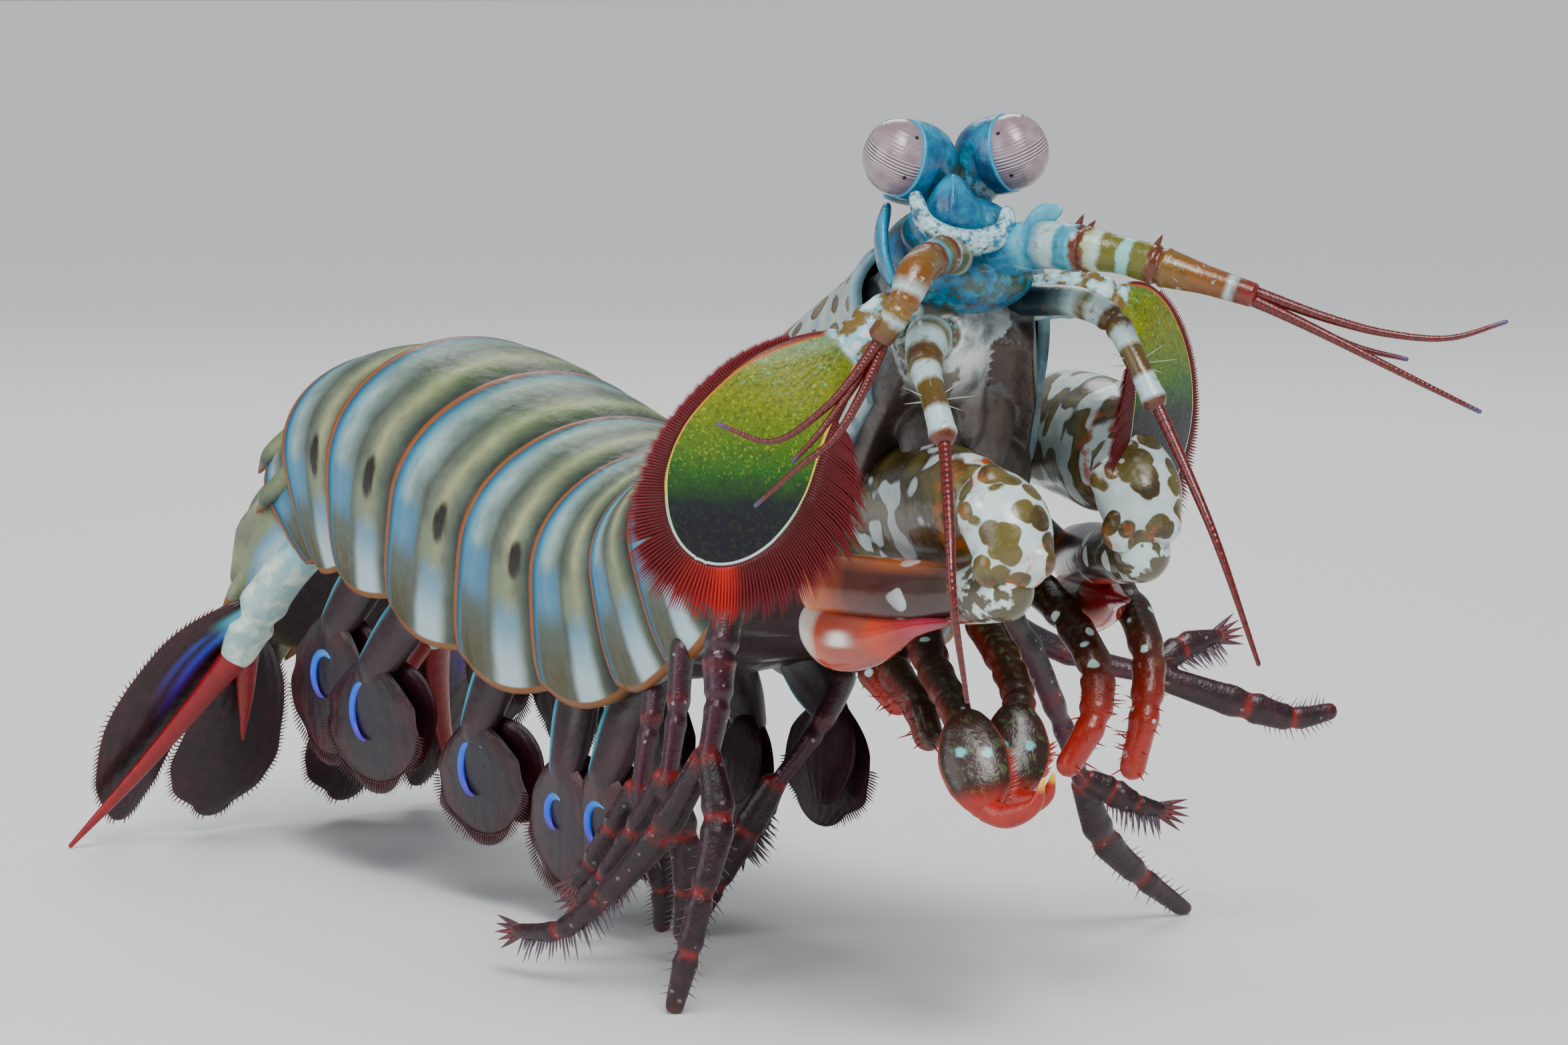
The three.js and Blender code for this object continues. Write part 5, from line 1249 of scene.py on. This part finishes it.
for name, data in MAXILLIPEDS.items():
    build = Build()
    joints = data["joints"]
    last = len(joints) - 1
    sizes = [[1.5 - 0.4 * i / last, 1.4 - 0.45 * i / last] for i in range(last + 1)]
    points, extra = limb_grid(joints, sizes, rows=130, cols=36, shape=pinched(*range(1, last), depth=0.12,
        width=0.1))
    u = extra["along"]
    reds = smooth(u, 0.55,
        0.95) if "5" in name or name.endswith("4_left") else 0.4 * smooth(np.abs(extra["side"]), 0.6, 1.0)
    build.grid(points, red=reds, spotted=smooth(u, 0.2, 0.35))
    if "disc" in data:
        points, extra = limb_grid(data["disc"], [[1.7, 0.9], [2.5, 1.15], [2.2, 1.0], [1.2, 0.8]],
            normal=FACING, rows=90, cols=60)
        middle = vec(data["disc"][1])
        spot = 0
        for dx, dy in ((-0.95, 0.5), (0.95, 0.5)):
            d = np.hypot((points - middle) @ VIEW_RIGHT - dx, (points - middle) @ VIEW_UP - dy)
            spot = spot + smooth(d, 0.42, 0.28) * ((points - middle) @ VIEW_BACK > 0)
        build.grid(points, red=smooth(np.abs(extra["side"]), 0.9, 1.0) + smooth(extra["along"], 0.72, 0.95),
            spot=spot)
        for t in 0.3 + 0.65 * np.arange(16) / 16:
            width = np.interp(t, [0, 0.33, 0.66, 1], [1.7, 2.5, 2.2, 1.2])
            root = Curve(data["disc"])(t)[0] + VIEW_RIGHT * width * 0.86
            spine(build, root, root + VIEW_RIGHT * 0.9 + VIEW_UP * (0.3 + 0.3 * rng.random()), 0.13, red=1.0)
    if "hook" in data:
        points, extra = limb_grid(data["hook"], [[0.9, 0.75], [0.85, 0.6], [0.55, 0.45], [0.12, 0.12]],
            normal=FACING, rows=60, cols=30)
        build.grid(points, red=1.0, tip=smooth(extra["along"], 0.82, 0.95))
    else:
        run = Curve(joints)
        for k in range(34):
            root = run(0.62 + 0.36 * rng.random())[0]
            out = unit(rng.normal(size=3) * [1, 1, 0.5] + [0, 0, -0.35])
            spine(build, root + out * 0.7, root + out * (1.7 + 0.7 * rng.random()), 0.075, red=0.8)
    build.object(name + ".skin", maxilliped_skin, name, "maxilliped")


# Walking legs: an olive and purple base, maroon branches with red joints, and pale bristles.
def make_leg():
    m = Shade("leg", roughness=0.38, coat=0.1)
    u = m.attr("along")
    base = m.ramp(m.wander(u, m.noise(0.7, 3), 0.2), [(0.0, (0.16, 0.18, 0.11)), (0.22, (0.06, 0.078, 0.036)),
        (0.5, (0.055, 0.038, 0.045)), (0.75, (0.065, 0.016, 0.04)), (1.0, (0.07, 0.012, 0.026))])
    branch = m.ramp(m.noise(1.0, 4), [(0.3, (0.018, 0.005, 0.009)), (0.55, (0.044, 0.011, 0.019)),
        (0.75, (0.09, 0.028, 0.04))])
    color = m.mix(m.attr("branch"), base, branch)
    color = m.mix((m.attr("red"), m.step(m.noise(1.4, 3), 0.3, 0.55)), color, (0.3, 0.009, 0.006))
    color = m.mix((m.attr("edge"), 0.6), color, (0.11, 0.01, 0.04))
    color = m.mix(m.attr("pale"), color, (0.22, 0.18, 0.22))
    pale_spot = m.step(m.cells(0.7, where=m.warped(0.5, 0.8)), 0.14, 0.09)
    color = m.mix((pale_spot, m.attr("spotted")), color, (0.55, 0.6, 0.66))
    m.bump((m.noise(1.0, 3), 0.12), (m.noise(4.0, 3), 0.03))
    return m.finish(color, depth=0.2)


leg_skin = make_leg()
LEGS = {
    "leg_1_right": {
        "base": [[-14.6, -17.0, 33.2], [-18.6, -17.9, 30.4], [-20.6, -18.6, 26.0], [-21.4, -19.4, 22.6],
            [-22.7, -19.9, 18.6]],
        "branches": [
            [[-22.7, -19.9, 18.8], [-23.6, -22.3, 14.3], [-25.5, -22.8, 9.0], [-26.6, -22.5, 4.6],
                [-27.1, -21.4, 0.2]],
            [[-22.7, -19.7, 18.8], [-24.7, -16.6, 12.6], [-26.8, -11.8, 7.1], [-27.7, -7.7, 4.3],
                [-28.5, -3.0, 3.6]],
        ],
    },
    "leg_2_right": {
        "base": [[-13.4, -10.0, 29.6], [-17.5, -10.3, 26.0], [-19.0, -11.1, 20.5], [-20.2, -11.5, 15.6]],
        "branches": [
            [[-20.2, -11.5, 16.0], [-19.6, -12.6, 11.4], [-19.2, -12.4, 7.0], [-19.0, -11.6, 3.2]],
            [[-20.2, -11.3, 16.0], [-21.2, -8.8, 11.2], [-21.8, -5.4, 7.4], [-22.2, -2.4, 5.0]],
        ],
    },
    "leg_3_right": {
        "base": [[-12.4, -3.4, 27.2], [-15.0, -3.5, 22.6], [-16.6, -4.3, 18.4], [-17.5, -4.2, 13.6]],
        "branches": [
            [[-17.5, -4.2, 14.0], [-17.2, -5.6, 9.8], [-16.8, -6.2, 6.0], [-16.6, -5.8, 2.8]],
            [[-17.5, -4.0, 14.0], [-18.2, -1.8, 10.2], [-18.6, 0.8, 7.2], [-18.8, 3.0, 5.2]],
        ],
    },
    "leg_1_left": {
        "base": [[1.0, -20.0, 32.4], [6.4, -21.6, 25.8], [11.0, -21.0, 18.6], [14.6, -19.6, 13.0]],
        "branches": [
            [[14.6, -19.6, 13.2], [18.6, -17.6, 8.0], [24.0, -16.2, 4.0], [30.2, -15.0, 0.2]],
            [[14.8, -19.8, 13.2], [16.6, -20.9, 12.2], [18.4, -21.9, 11.2], [20.4, -22.8, 10.6]],
        ],
    },
    "leg_2_left": {
        "base": [[3.4, -13.6, 29.0], [9.4, -16.6, 25.6], [14.4, -19.6, 23.0], [19.1, -22.8, 21.6]],
        "branches": [
            [[18.8, -22.6, 21.7], [25.5, -26.9, 19.0], [29.0, -28.5, 17.9], [32.3, -29.7, 18.3]],
            [[19.0, -22.6, 21.9], [21.8, -23.4, 23.6], [25.0, -24.2, 24.4]],
        ],
    },
    "leg_3_left": {
        "base": [[3.0, -3.4, 26.4], [2.6, -4.6, 21.5], [0.0, -4.4, 16.8], [-3.0, -2.8, 12.4]],
        "branches": [
            [[-3.0, -2.8, 12.8], [-4.8, -1.2, 8.6], [-6.6, 0.4, 4.4], [-8.0, 2.0, 0.2]],
            [[-3.0, -2.6, 12.8], [-2.6, -0.2, 9.8], [-2.4, 1.6, 7.6], [-2.2, 3.2, 6.2]],
        ],
    },
}
for name, data in LEGS.items():
    slim = 1.0 if "_1_right" in name else 0.85
    base = data["base"]
    table = [1.55, 1.5, 1.6, 1.25, 1.0] if len(base) == 5 else [1.55, 1.5, 1.25, 1.0]
    build = Build()
    points, extra = limb_grid(base, [[w * slim, w * 0.8 * slim] for w in table], normal=(0.7, -0.7, 0),
        rows=110, cols=40, shape=pinched(*range(1, len(base) - 1), depth=0.14, width=0.08))
    u = extra["along"]
    build.grid(points, along=u, red=smooth(u, 0.93, 1.0) + 0.5 * bell(u, 0.62, 0.03),
        edge=smooth(np.abs(extra["side"]), 0.75, 1.0), spotted=0.5)
    for k, branch in enumerate(data["branches"]):
        last = len(branch) - 1
        sizes = []
        for i in range(last + 1):
            sizes.append([1.0 + ((0.75 if k else 0.95) - 1.0) * i / last + (0.25 if i == 1 else 0),
                0.7 * 1.25 * slim * (1 - 0.25 * i / last)])
        sizes[-1] = [sizes[-1][0] * 0.75, sizes[-1][1] * 0.7]
        points, extra = limb_grid(branch, sizes, normal=FACING, rows=120, cols=40, ends=(0.6, 1.0),
            shape=pinched(*range(1, last), depth=0.13, width=0.09))
        points[..., 2] = np.maximum(points[..., 2], FLOOR_GAP)
        u, j = extra["along"], extra["joint"]
        red = smooth(u, 0.08, 0.0) + sum(0.9 * bell(j, at, 0.07) for at in range(1, last)) + 0.3 * smooth(u,
            0.94, 1.0)
        build.grid(points, along=u, branch=1.0, red=np.clip(red, 0, 1),
            edge=0.8 * smooth(np.abs(extra["side"]), 0.8, 1.0), spotted=0.25)
    build.fused(0.17, 4)
    run = Curve(data["branches"][-1])
    end, along = run(1.0)[0], run.tangent(1.0)[0]
    wide = unit(np.cross(along, FACING))
    wide = wide * np.sign(-wide[2] if abs(wide[2]) > 0.1 else 1.0)
    # Fingers at the end, a comb along the lower edge and a brush on the upper edge.
    for turn in (-1.0, -0.5, 0.0, 0.5, 1.0):
        tip = end + along * (2.3 - 0.5 * abs(turn)) + wide * turn * 1.3 + FACING * 0.2 * turn
        tip[2] = max(tip[2], 0.25)
        spine(build, end - along * 0.6 + wide * turn * 0.25, tip, 0.26, branch=1.0,
            red=0.75 - 0.4 * abs(turn), pale=0.25)
    hairs = 46 if "right" in name else 38
    for k in range(hairs):
        t = 0.28 + 0.68 * (k + 0.5) / hairs
        at, dire = run(t)[0], run.tangent(t)[0]
        down = unit(np.cross(dire, FACING))
        down = down * (-1 if down[2] > 0 else 1)
        size = 3.0 * (0.75 + 0.25 * math.sin(k * 1.7)) * (0.55 + 0.45 * math.sin(math.pi * (t - 0.2)))
        out = unit(down + dire * (0.25 + 0.2 * rng.random()) + FACING * 0.3 * rng.normal())
        tip = at + out * size
        tip[2] = max(tip[2], 0.12)
        spine(build, at + down * 0.45, tip, 0.1, branch=1.0, pale=0.75, red=0.3 * (k % 5 == 0))
    first = Curve(data["branches"][0])
    for k in range(34):
        t = 0.3 + 0.62 * (k + 0.5) / 34
        at, dire = first(t)[0], first.tangent(t)[0]
        out = unit(np.cross(dire, FACING)) * (1 if k % 2 else -1)
        out = unit(out + dire * 0.5 + FACING * 0.3 * rng.normal())
        tip = at + out * (1.3 + 0.8 * rng.random())
        tip[2] = max(tip[2], 0.1)
        spine(build, at + out * 0.4, tip, 0.06, branch=1.0, pale=0.7)
    build.object(name + ".skin", leg_skin, name, "leg")


# Swimmerets and tail fan: thin dark maroon leaves.
def make_fan():
    m = Shade("fan", roughness=0.4, coat=0.08)
    n = m.noise(0.45, 4, where=m.warped(1.5, 0.3))
    color = m.ramp(n, [(0.3, (0.014, 0.002, 0.005)), (0.5, (0.042, 0.005, 0.011)),
        (0.72, (0.09, 0.012, 0.021))])
    dark = m.times(m.attr("dark"), 0.85)
    color = m.mix(dark, color, (0.01, 0.008, 0.022))
    color = m.mix((m.step(m.wave(m.attr("across"), 17.0), 0.75, 1.0), 0.12), color, (0.12, 0.02, 0.045))
    color = m.mix(m.attr("grey"), color, m.mix(m.noise(0.8, 4), (0.035, 0.02, 0.028), (0.12, 0.085, 0.105)))
    color = m.mix(m.attr("edge"), color, (0.1, 0.012, 0.018))
    blue = m.mix(m.attr("violet"), (0.01, 0.16, 0.85), (0.1, 0.02, 0.55))
    color = m.mix(m.attr("blue"), color, blue)
    white = m.mix(m.step(m.noise(0.7, 3), 0.4, 0.65), (0.42, 0.62, 0.6), (0.8, 0.88, 0.78))
    color = m.mix(m.attr("white"), color, white)
    color = m.mix(m.attr("cyan"), color, (0.1, 0.56, 0.72))
    color = m.mix(m.attr("red"), color, m.mix(m.noise(1.0, 3), (0.2, 0.006, 0.012), (0.42, 0.012, 0.02)))
    m.bump((m.wave(m.attr("across"), 17.0), 0.02), (m.noise(0.8, 3), 0.12))
    return m.finish(color, depth=0.2)


fan = make_fan()


def leaf_waves(count, depth):
    """A wavy outline."""
    def shape(j, a):
        wave = depth * np.sin(j * count + 1.3) * np.abs(np.cos(a)) ** 2
        return 1 + wave + 0.5 * depth * np.sin(j * count * 2.3)
    return shape


def fringe(build, rim, centre, reach, **masks):
    """Hairs on a leaf's rim that point away from its centre."""
    for p, size in zip(rim, reach):
        out = unit(p - centre)
        tip = p + out * size
        tip[2] = max(tip[2], 0.08)
        spine(build, p - out * 0.3, tip, 0.07, **masks)


def fringe_leaf(build, points, joints, reach):
    """Hairs round a leaf of the tail fan, on both edges and past its first rows of points."""
    rim = np.concatenate([points[18:, 0][::2], points[18:, 48][::2][::-1]])
    fringe(build, rim, Curve(joints)(0.5)[0], reach + 0.3 * rng.random(len(rim)), edge=1.0)


# Root, knee and tip of each, and the half width of its leaf.
PLEOPODS = {
    "pleopod_1_right": ([-12.0, 2.6, 22.0], [-14.2, 5.2, 12.6], [-13.6, 5.6, 4.0], 3.9),
    "pleopod_2_right": ([-12.0, 10.6, 22.0], [-14.2, 10.4, 12.6], [-13.6, 12.0, 4.4], 4.6),
    "pleopod_3_right": ([-12.0, 20.6, 23.4], [-14.2, 23.2, 14.4], [-13.8, 22.0, 7.0], 6.2),
    "pleopod_4_right": ([-12.0, 32.4, 26.0], [-14.2, 38.8, 17.8], [-13.8, 38.6, 9.4], 7.0),
    "pleopod_5_right": ([-11.4, 41.0, 28.0], [-13.6, 45.4, 20.8], [-13.4, 46.6, 11.0], 6.0),
    "pleopod_1_left": ([2.6, 2.0, 22.0], [5.0, -0.2, 17.0], [4.4, 0.8, 9.6], 5.6),
    "pleopod_2_left": ([2.6, 10.6, 22.0], [4.8, 10.6, 14.6], [4.2, 12.6, 8.0], 4.4),
    "pleopod_3_left": ([2.6, 20.6, 23.4], [4.8, 22.2, 15.4], [4.4, 22.6, 8.6], 4.6),
    "pleopod_4_left": ([2.6, 32.4, 26.0], [4.8, 35.4, 18.8], [4.4, 36.6, 11.4], 5.2),
    "pleopod_5_left": ([2.0, 41.0, 28.0], [4.2, 45.4, 20.8], [4.0, 46.6, 12.0], 4.8),
}
for name, (root, knee, tip, w) in PLEOPODS.items():
    right = name.endswith("right")
    k = int(name[8])
    top, bend, end = vec(root), vec(knee), vec(tip)
    outside = -1.0 if right else 1.0
    build = Build()
    points, extra = limb_grid([top, (top + bend) / 2, bend], [[2.0, 1.3], [2.4, 1.4], [1.8, 1.1]],
        normal=(1, 0, 0), rows=80, cols=48)
    # The hind edge of the stem, which faces the viewer's left, is pale blue.
    hind = (points[..., 1] - np.interp(extra["along"], [0, 0.5, 1], [top[1], (top + bend)[1] / 2,
        bend[1]])) / 2.2
    build.grid(points, grey=0.45, cyan=smooth(hind, 0.3, 0.6) * smooth(extra["along"], 0.05, 0.25),
        white=0.25 * smooth(extra["along"], 0.5, 0.0))
    lobe = [bend + UP * 0.9, bend * 0.7 + end * 0.3, bend * 0.3 + end * 0.7, end]
    points, extra = limb_grid(lobe, [[2.0, 0.9], [w * 0.96, 0.5], [w * 1.0, 0.4], [w * 0.66, 0.3]],
        normal=(1, 0, 0), rows=100, cols=84, lens=1.6, shape=leaf_waves(2.1 + 0.3 * k, 0.035))
    centre = bend * 0.5 + end * 0.5
    d = np.hypot(points[..., 1] - centre[1], points[..., 2] - centre[2]) / w
    build.grid(points, dark=smooth(d, 0.75, 0.45), edge=smooth(d, 0.85, 1.1) * 0.6, across=extra["around"],
        grey=0.35 if not right or k <= 2 else 0.0)
    inner_lobe = [bend + vec([-outside * 1.4, -1.0, 1.0]), centre + vec([-outside * 1.8, -2.2, 1.5]),
        end + vec([-outside * 1.8, -2.6, 1.6])]
    points, extra = limb_grid(inner_lobe, [[1.4, 0.6], [w * 0.62, 0.35], [w * 0.4, 0.25]], normal=(1, 0.1, 0),
        rows=70, cols=48, lens=1.6, shape=leaf_waves(2.7, 0.05))
    build.grid(points, across=extra["around"], edge=0.3, grey=0.25)
    # A bright blue arc round the hind edge of the lobe's dark middle.
    radius = {1: 1.5, 2: 1.2, 3: 2.0, 4: 2.2, 5: 1.7}[k]
    arc = []
    for angle in np.linspace(math.radians(55), math.radians(265), 9):
        y, z = -math.cos(angle) * radius, math.sin(angle) * radius * 1.15 + 1.0
        arc.append(centre + vec([outside * 0.62, y, z]))
    points, extra = limb_grid(arc, [[0.1, 0.12], [0.28, 0.2], [0.36, 0.24], [0.4, 0.26], [0.42, 0.26],
        [0.4, 0.26], [0.34, 0.24], [0.24, 0.18], [0.08, 0.1]], normal=(1, 0, 0), rows=80, cols=20)
    build.grid(points, blue=1.0, violet=smooth(extra["along"], 0.45, 1.0), cyan=0.55 * smooth(extra["along"],
        0.4, 0.0))
    tall = np.linalg.norm(end - bend)
    rim = [
        centre + vec([outside * 0.1, math.sin(a) * w * 1.02, -math.cos(a) * tall * 0.62])
        for a in np.linspace(-1.5, 1.5, 60)]
    fringe(build, rim, centre, 0.7 + 0.35 * rng.random(60), edge=0.6, grey=0.3)
    build.object(name + ".leaf", fan, name, "fan")

UROPOD = {
    "stem": [[-12.2, 49.8, 28.2], [-13.4, 53.0, 25.2], [-14.6, 56.6, 20.6], [-15.2, 58.6, 17.0]],
    "process": [[-15.0, 58.0, 18.0], [-17.4, 61.4, 13.2], [-21.4, 66.0, 6.2], [-25.9, 69.4, 0.1]],
    "inner": [[-14.4, 58.0, 18.0], [-13.0, 60.6, 13.6], [-12.0, 62.8, 9.2]],
    "exopod": [[-15.8, 56.2, 22.0], [-18.8, 60.2, 17.6], [-20.6, 64.8, 11.2], [-20.8, 68.2, 5.6],
        [-20.6, 69.6, 2.4]],
    "endopod": [[-13.4, 59.0, 19.2], [-12.2, 62.2, 13.8], [-11.8, 65.6, 8.2], [-11.8, 67.6, 4.4],
        [-11.8, 68.4, 2.6]],
}
FAN_NORMAL = (0, -0.86, -0.5)
for side in ("right", "left"):
    table = UROPOD if side == "right" else {key: mirrored(value) for key, value in UROPOD.items()}
    build = Build()
    points, extra = limb_grid(table["stem"], [[2.0, 1.7], [2.1, 1.8], [2.2, 1.7], [1.6, 1.2]],
        normal=FAN_NORMAL, rows=110, cols=56, shape=pinched(1.9, depth=0.14, width=0.12))
    build.grid(points, white=1.0, cyan=0.7 * smooth(extra["along"], 0.3, 0.0) * smooth(extra["side"], -0.2,
        0.6))
    points, extra = limb_grid(table["process"], [[1.5, 1.2], [1.1, 0.8], [0.7, 0.55], [0.2, 0.2]],
        normal=FAN_NORMAL, rows=120, cols=40)
    points[..., 2] = np.maximum(points[..., 2], FLOOR_GAP)
    u = extra["along"]
    build.grid(points, red=1.0, white=smooth(u, 0.06, 0.0))
    points, extra = limb_grid(table["inner"], [[1.2, 0.9], [0.8, 0.6], [0.15, 0.15]], normal=FAN_NORMAL,
        rows=60, cols=30)
    build.grid(points, red=1.0)
    points, extra = limb_grid(table["exopod"], [[1.4, 0.8], [3.6, 0.5], [4.2, 0.42], [3.0, 0.36], [1.2, 0.3]],
        normal=FAN_NORMAL, rows=130, cols=96, lens=1.5, shape=leaf_waves(1.9, 0.03))
    points[..., 2] = np.maximum(points[..., 2], FLOOR_GAP)
    u, across = extra["along"], extra["side"]
    streak = bell(across, -0.15, 0.16) * smooth(u, 0.02, 0.1) * smooth(u, 0.62, 0.3) + 0.7 * bell(across,
        0.25, 0.1) * smooth(u, 0.1, 0.2) * smooth(u, 0.5, 0.35)
    build.grid(points, across=extra["around"], blue=0.85 * streak, violet=smooth(u, 0.1, 0.45),
        cyan=0.9 * smooth(u, 0.16, 0.05) * smooth(np.abs(across), 0.7, 0.3), edge=smooth(np.abs(across), 0.9,
        1.0) * 0.7, dark=0.5 * bell(across, 0.1, 0.4))
    fringe_leaf(build, points, table["exopod"], 0.55)
    build.object(f"uropod_{side}.fan", fan, f"uropod_{side}", "fan")
    build = Build()
    points, extra = limb_grid(table["endopod"], [[1.2, 0.7], [4.2, 0.5], [5.4, 0.42], [4.6, 0.36],
        [2.4, 0.3]], normal=FAN_NORMAL, rows=130, cols=96, lens=1.5, shape=leaf_waves(2.6, 0.035))
    points[..., 2] = np.maximum(points[..., 2], FLOOR_GAP)
    across = extra["side"]
    build.grid(points, across=extra["around"], dark=0.7 * bell(across, 0, 0.45), edge=smooth(np.abs(across),
        0.88, 1.0) * 0.7, grey=0.15)
    fringe_leaf(build, points, table["endopod"], 0.5)
    build.object(f"uropod_endopod_{side}.fan", fan, f"uropod_endopod_{side}", "fan")


# Floor, light and camera. Sizes and places of the stage are in metres.
FLOOR_SIZE, FLOOR_LEVEL, FLOOR_COLOR = 200.0, -0.00005, (0.86, 0.86, 0.85)
WORLD_COLOR, WORLD_STRENGTH = (0.82, 0.86, 0.92, 1), 0.36
SUN_STRENGTH, SUN_ANGLE, SUN_TILT = 1.9, 0.7, (28, -16)
LAMPS = (  # name, place, size, power, colour
    ("key", (-0.2, -0.42, 0.52), 0.22, 2.2, (1.0, 0.97, 0.93)),
    ("fill", (-0.62, 0.05, 0.28), 0.4, 1.5, (0.9, 0.95, 1.0)),
    ("rim", (0.3, 0.42, 0.45), 0.3, 0.9, (1.0, 1.0, 1.0)),
)
AZIMUTH, ELEVATION, DISTANCE, AIM_HEIGHT = -38, 6, 400, 33  # degrees, then millimetres
FOCAL_PIXELS, PHOTO_WIDTH, SENSOR_WIDTH = 7500, 2352, 36


def add_stage():
    bpy.ops.mesh.primitive_plane_add(size=FLOOR_SIZE, location=(0, 0, FLOOR_LEVEL))
    floor = bpy.context.object
    floor.name = "floor"
    m = Shade("floor", roughness=0.6)
    floor.data.materials.append(m.finish(FLOOR_COLOR))
    world = bpy.data.worlds.new("studio")
    world.use_nodes = True
    background = world.node_tree.nodes["Background"]
    background.inputs["Color"].default_value = WORLD_COLOR
    background.inputs["Strength"].default_value = WORLD_STRENGTH
    bpy.context.scene.world = world
    target = Vector((0, 0, AIM_HEIGHT * MM))
    for name, place, size, power, tint in LAMPS:
        light = bpy.data.lights.new(name, "AREA")
        light.size = size
        light.energy = power
        light.color = tint
        obj = bpy.data.objects.new(name, light)
        obj.location = place
        obj.rotation_mode = "QUATERNION"
        obj.rotation_quaternion = (Vector(place) - target).to_track_quat("Z", "Y")
        bpy.context.scene.collection.objects.link(obj)
    overhead = bpy.data.lights.new("overhead", "SUN")
    overhead.energy = SUN_STRENGTH
    overhead.angle = SUN_ANGLE
    obj = bpy.data.objects.new("overhead", overhead)
    obj.rotation_euler = (math.radians(SUN_TILT[0]), math.radians(SUN_TILT[1]), 0)
    bpy.context.scene.collection.objects.link(obj)


def add_camera():
    """Looks from the photo's side at a point above the origin of the frame with the floor at z = 0."""
    a, e = math.radians(AZIMUTH), math.radians(ELEVATION)
    back = Vector((math.sin(a) * math.cos(e), -math.cos(a) * math.cos(e), math.sin(e)))
    camera = bpy.data.cameras.new("camera")
    camera.sensor_width = SENSOR_WIDTH
    camera.lens = SENSOR_WIDTH * FOCAL_PIXELS / PHOTO_WIDTH
    camera.clip_start, camera.clip_end = 0.01, 300
    obj = bpy.data.objects.new("camera", camera)
    obj.location = (Vector((0, 0, AIM_HEIGHT)) - Vector(ORIGIN) + back * DISTANCE) * MM
    obj.rotation_mode = "QUATERNION"
    obj.rotation_quaternion = back.to_track_quat("Z", "Y")
    bpy.context.scene.collection.objects.link(obj)
    bpy.context.scene.camera = obj


add_stage()
add_camera()
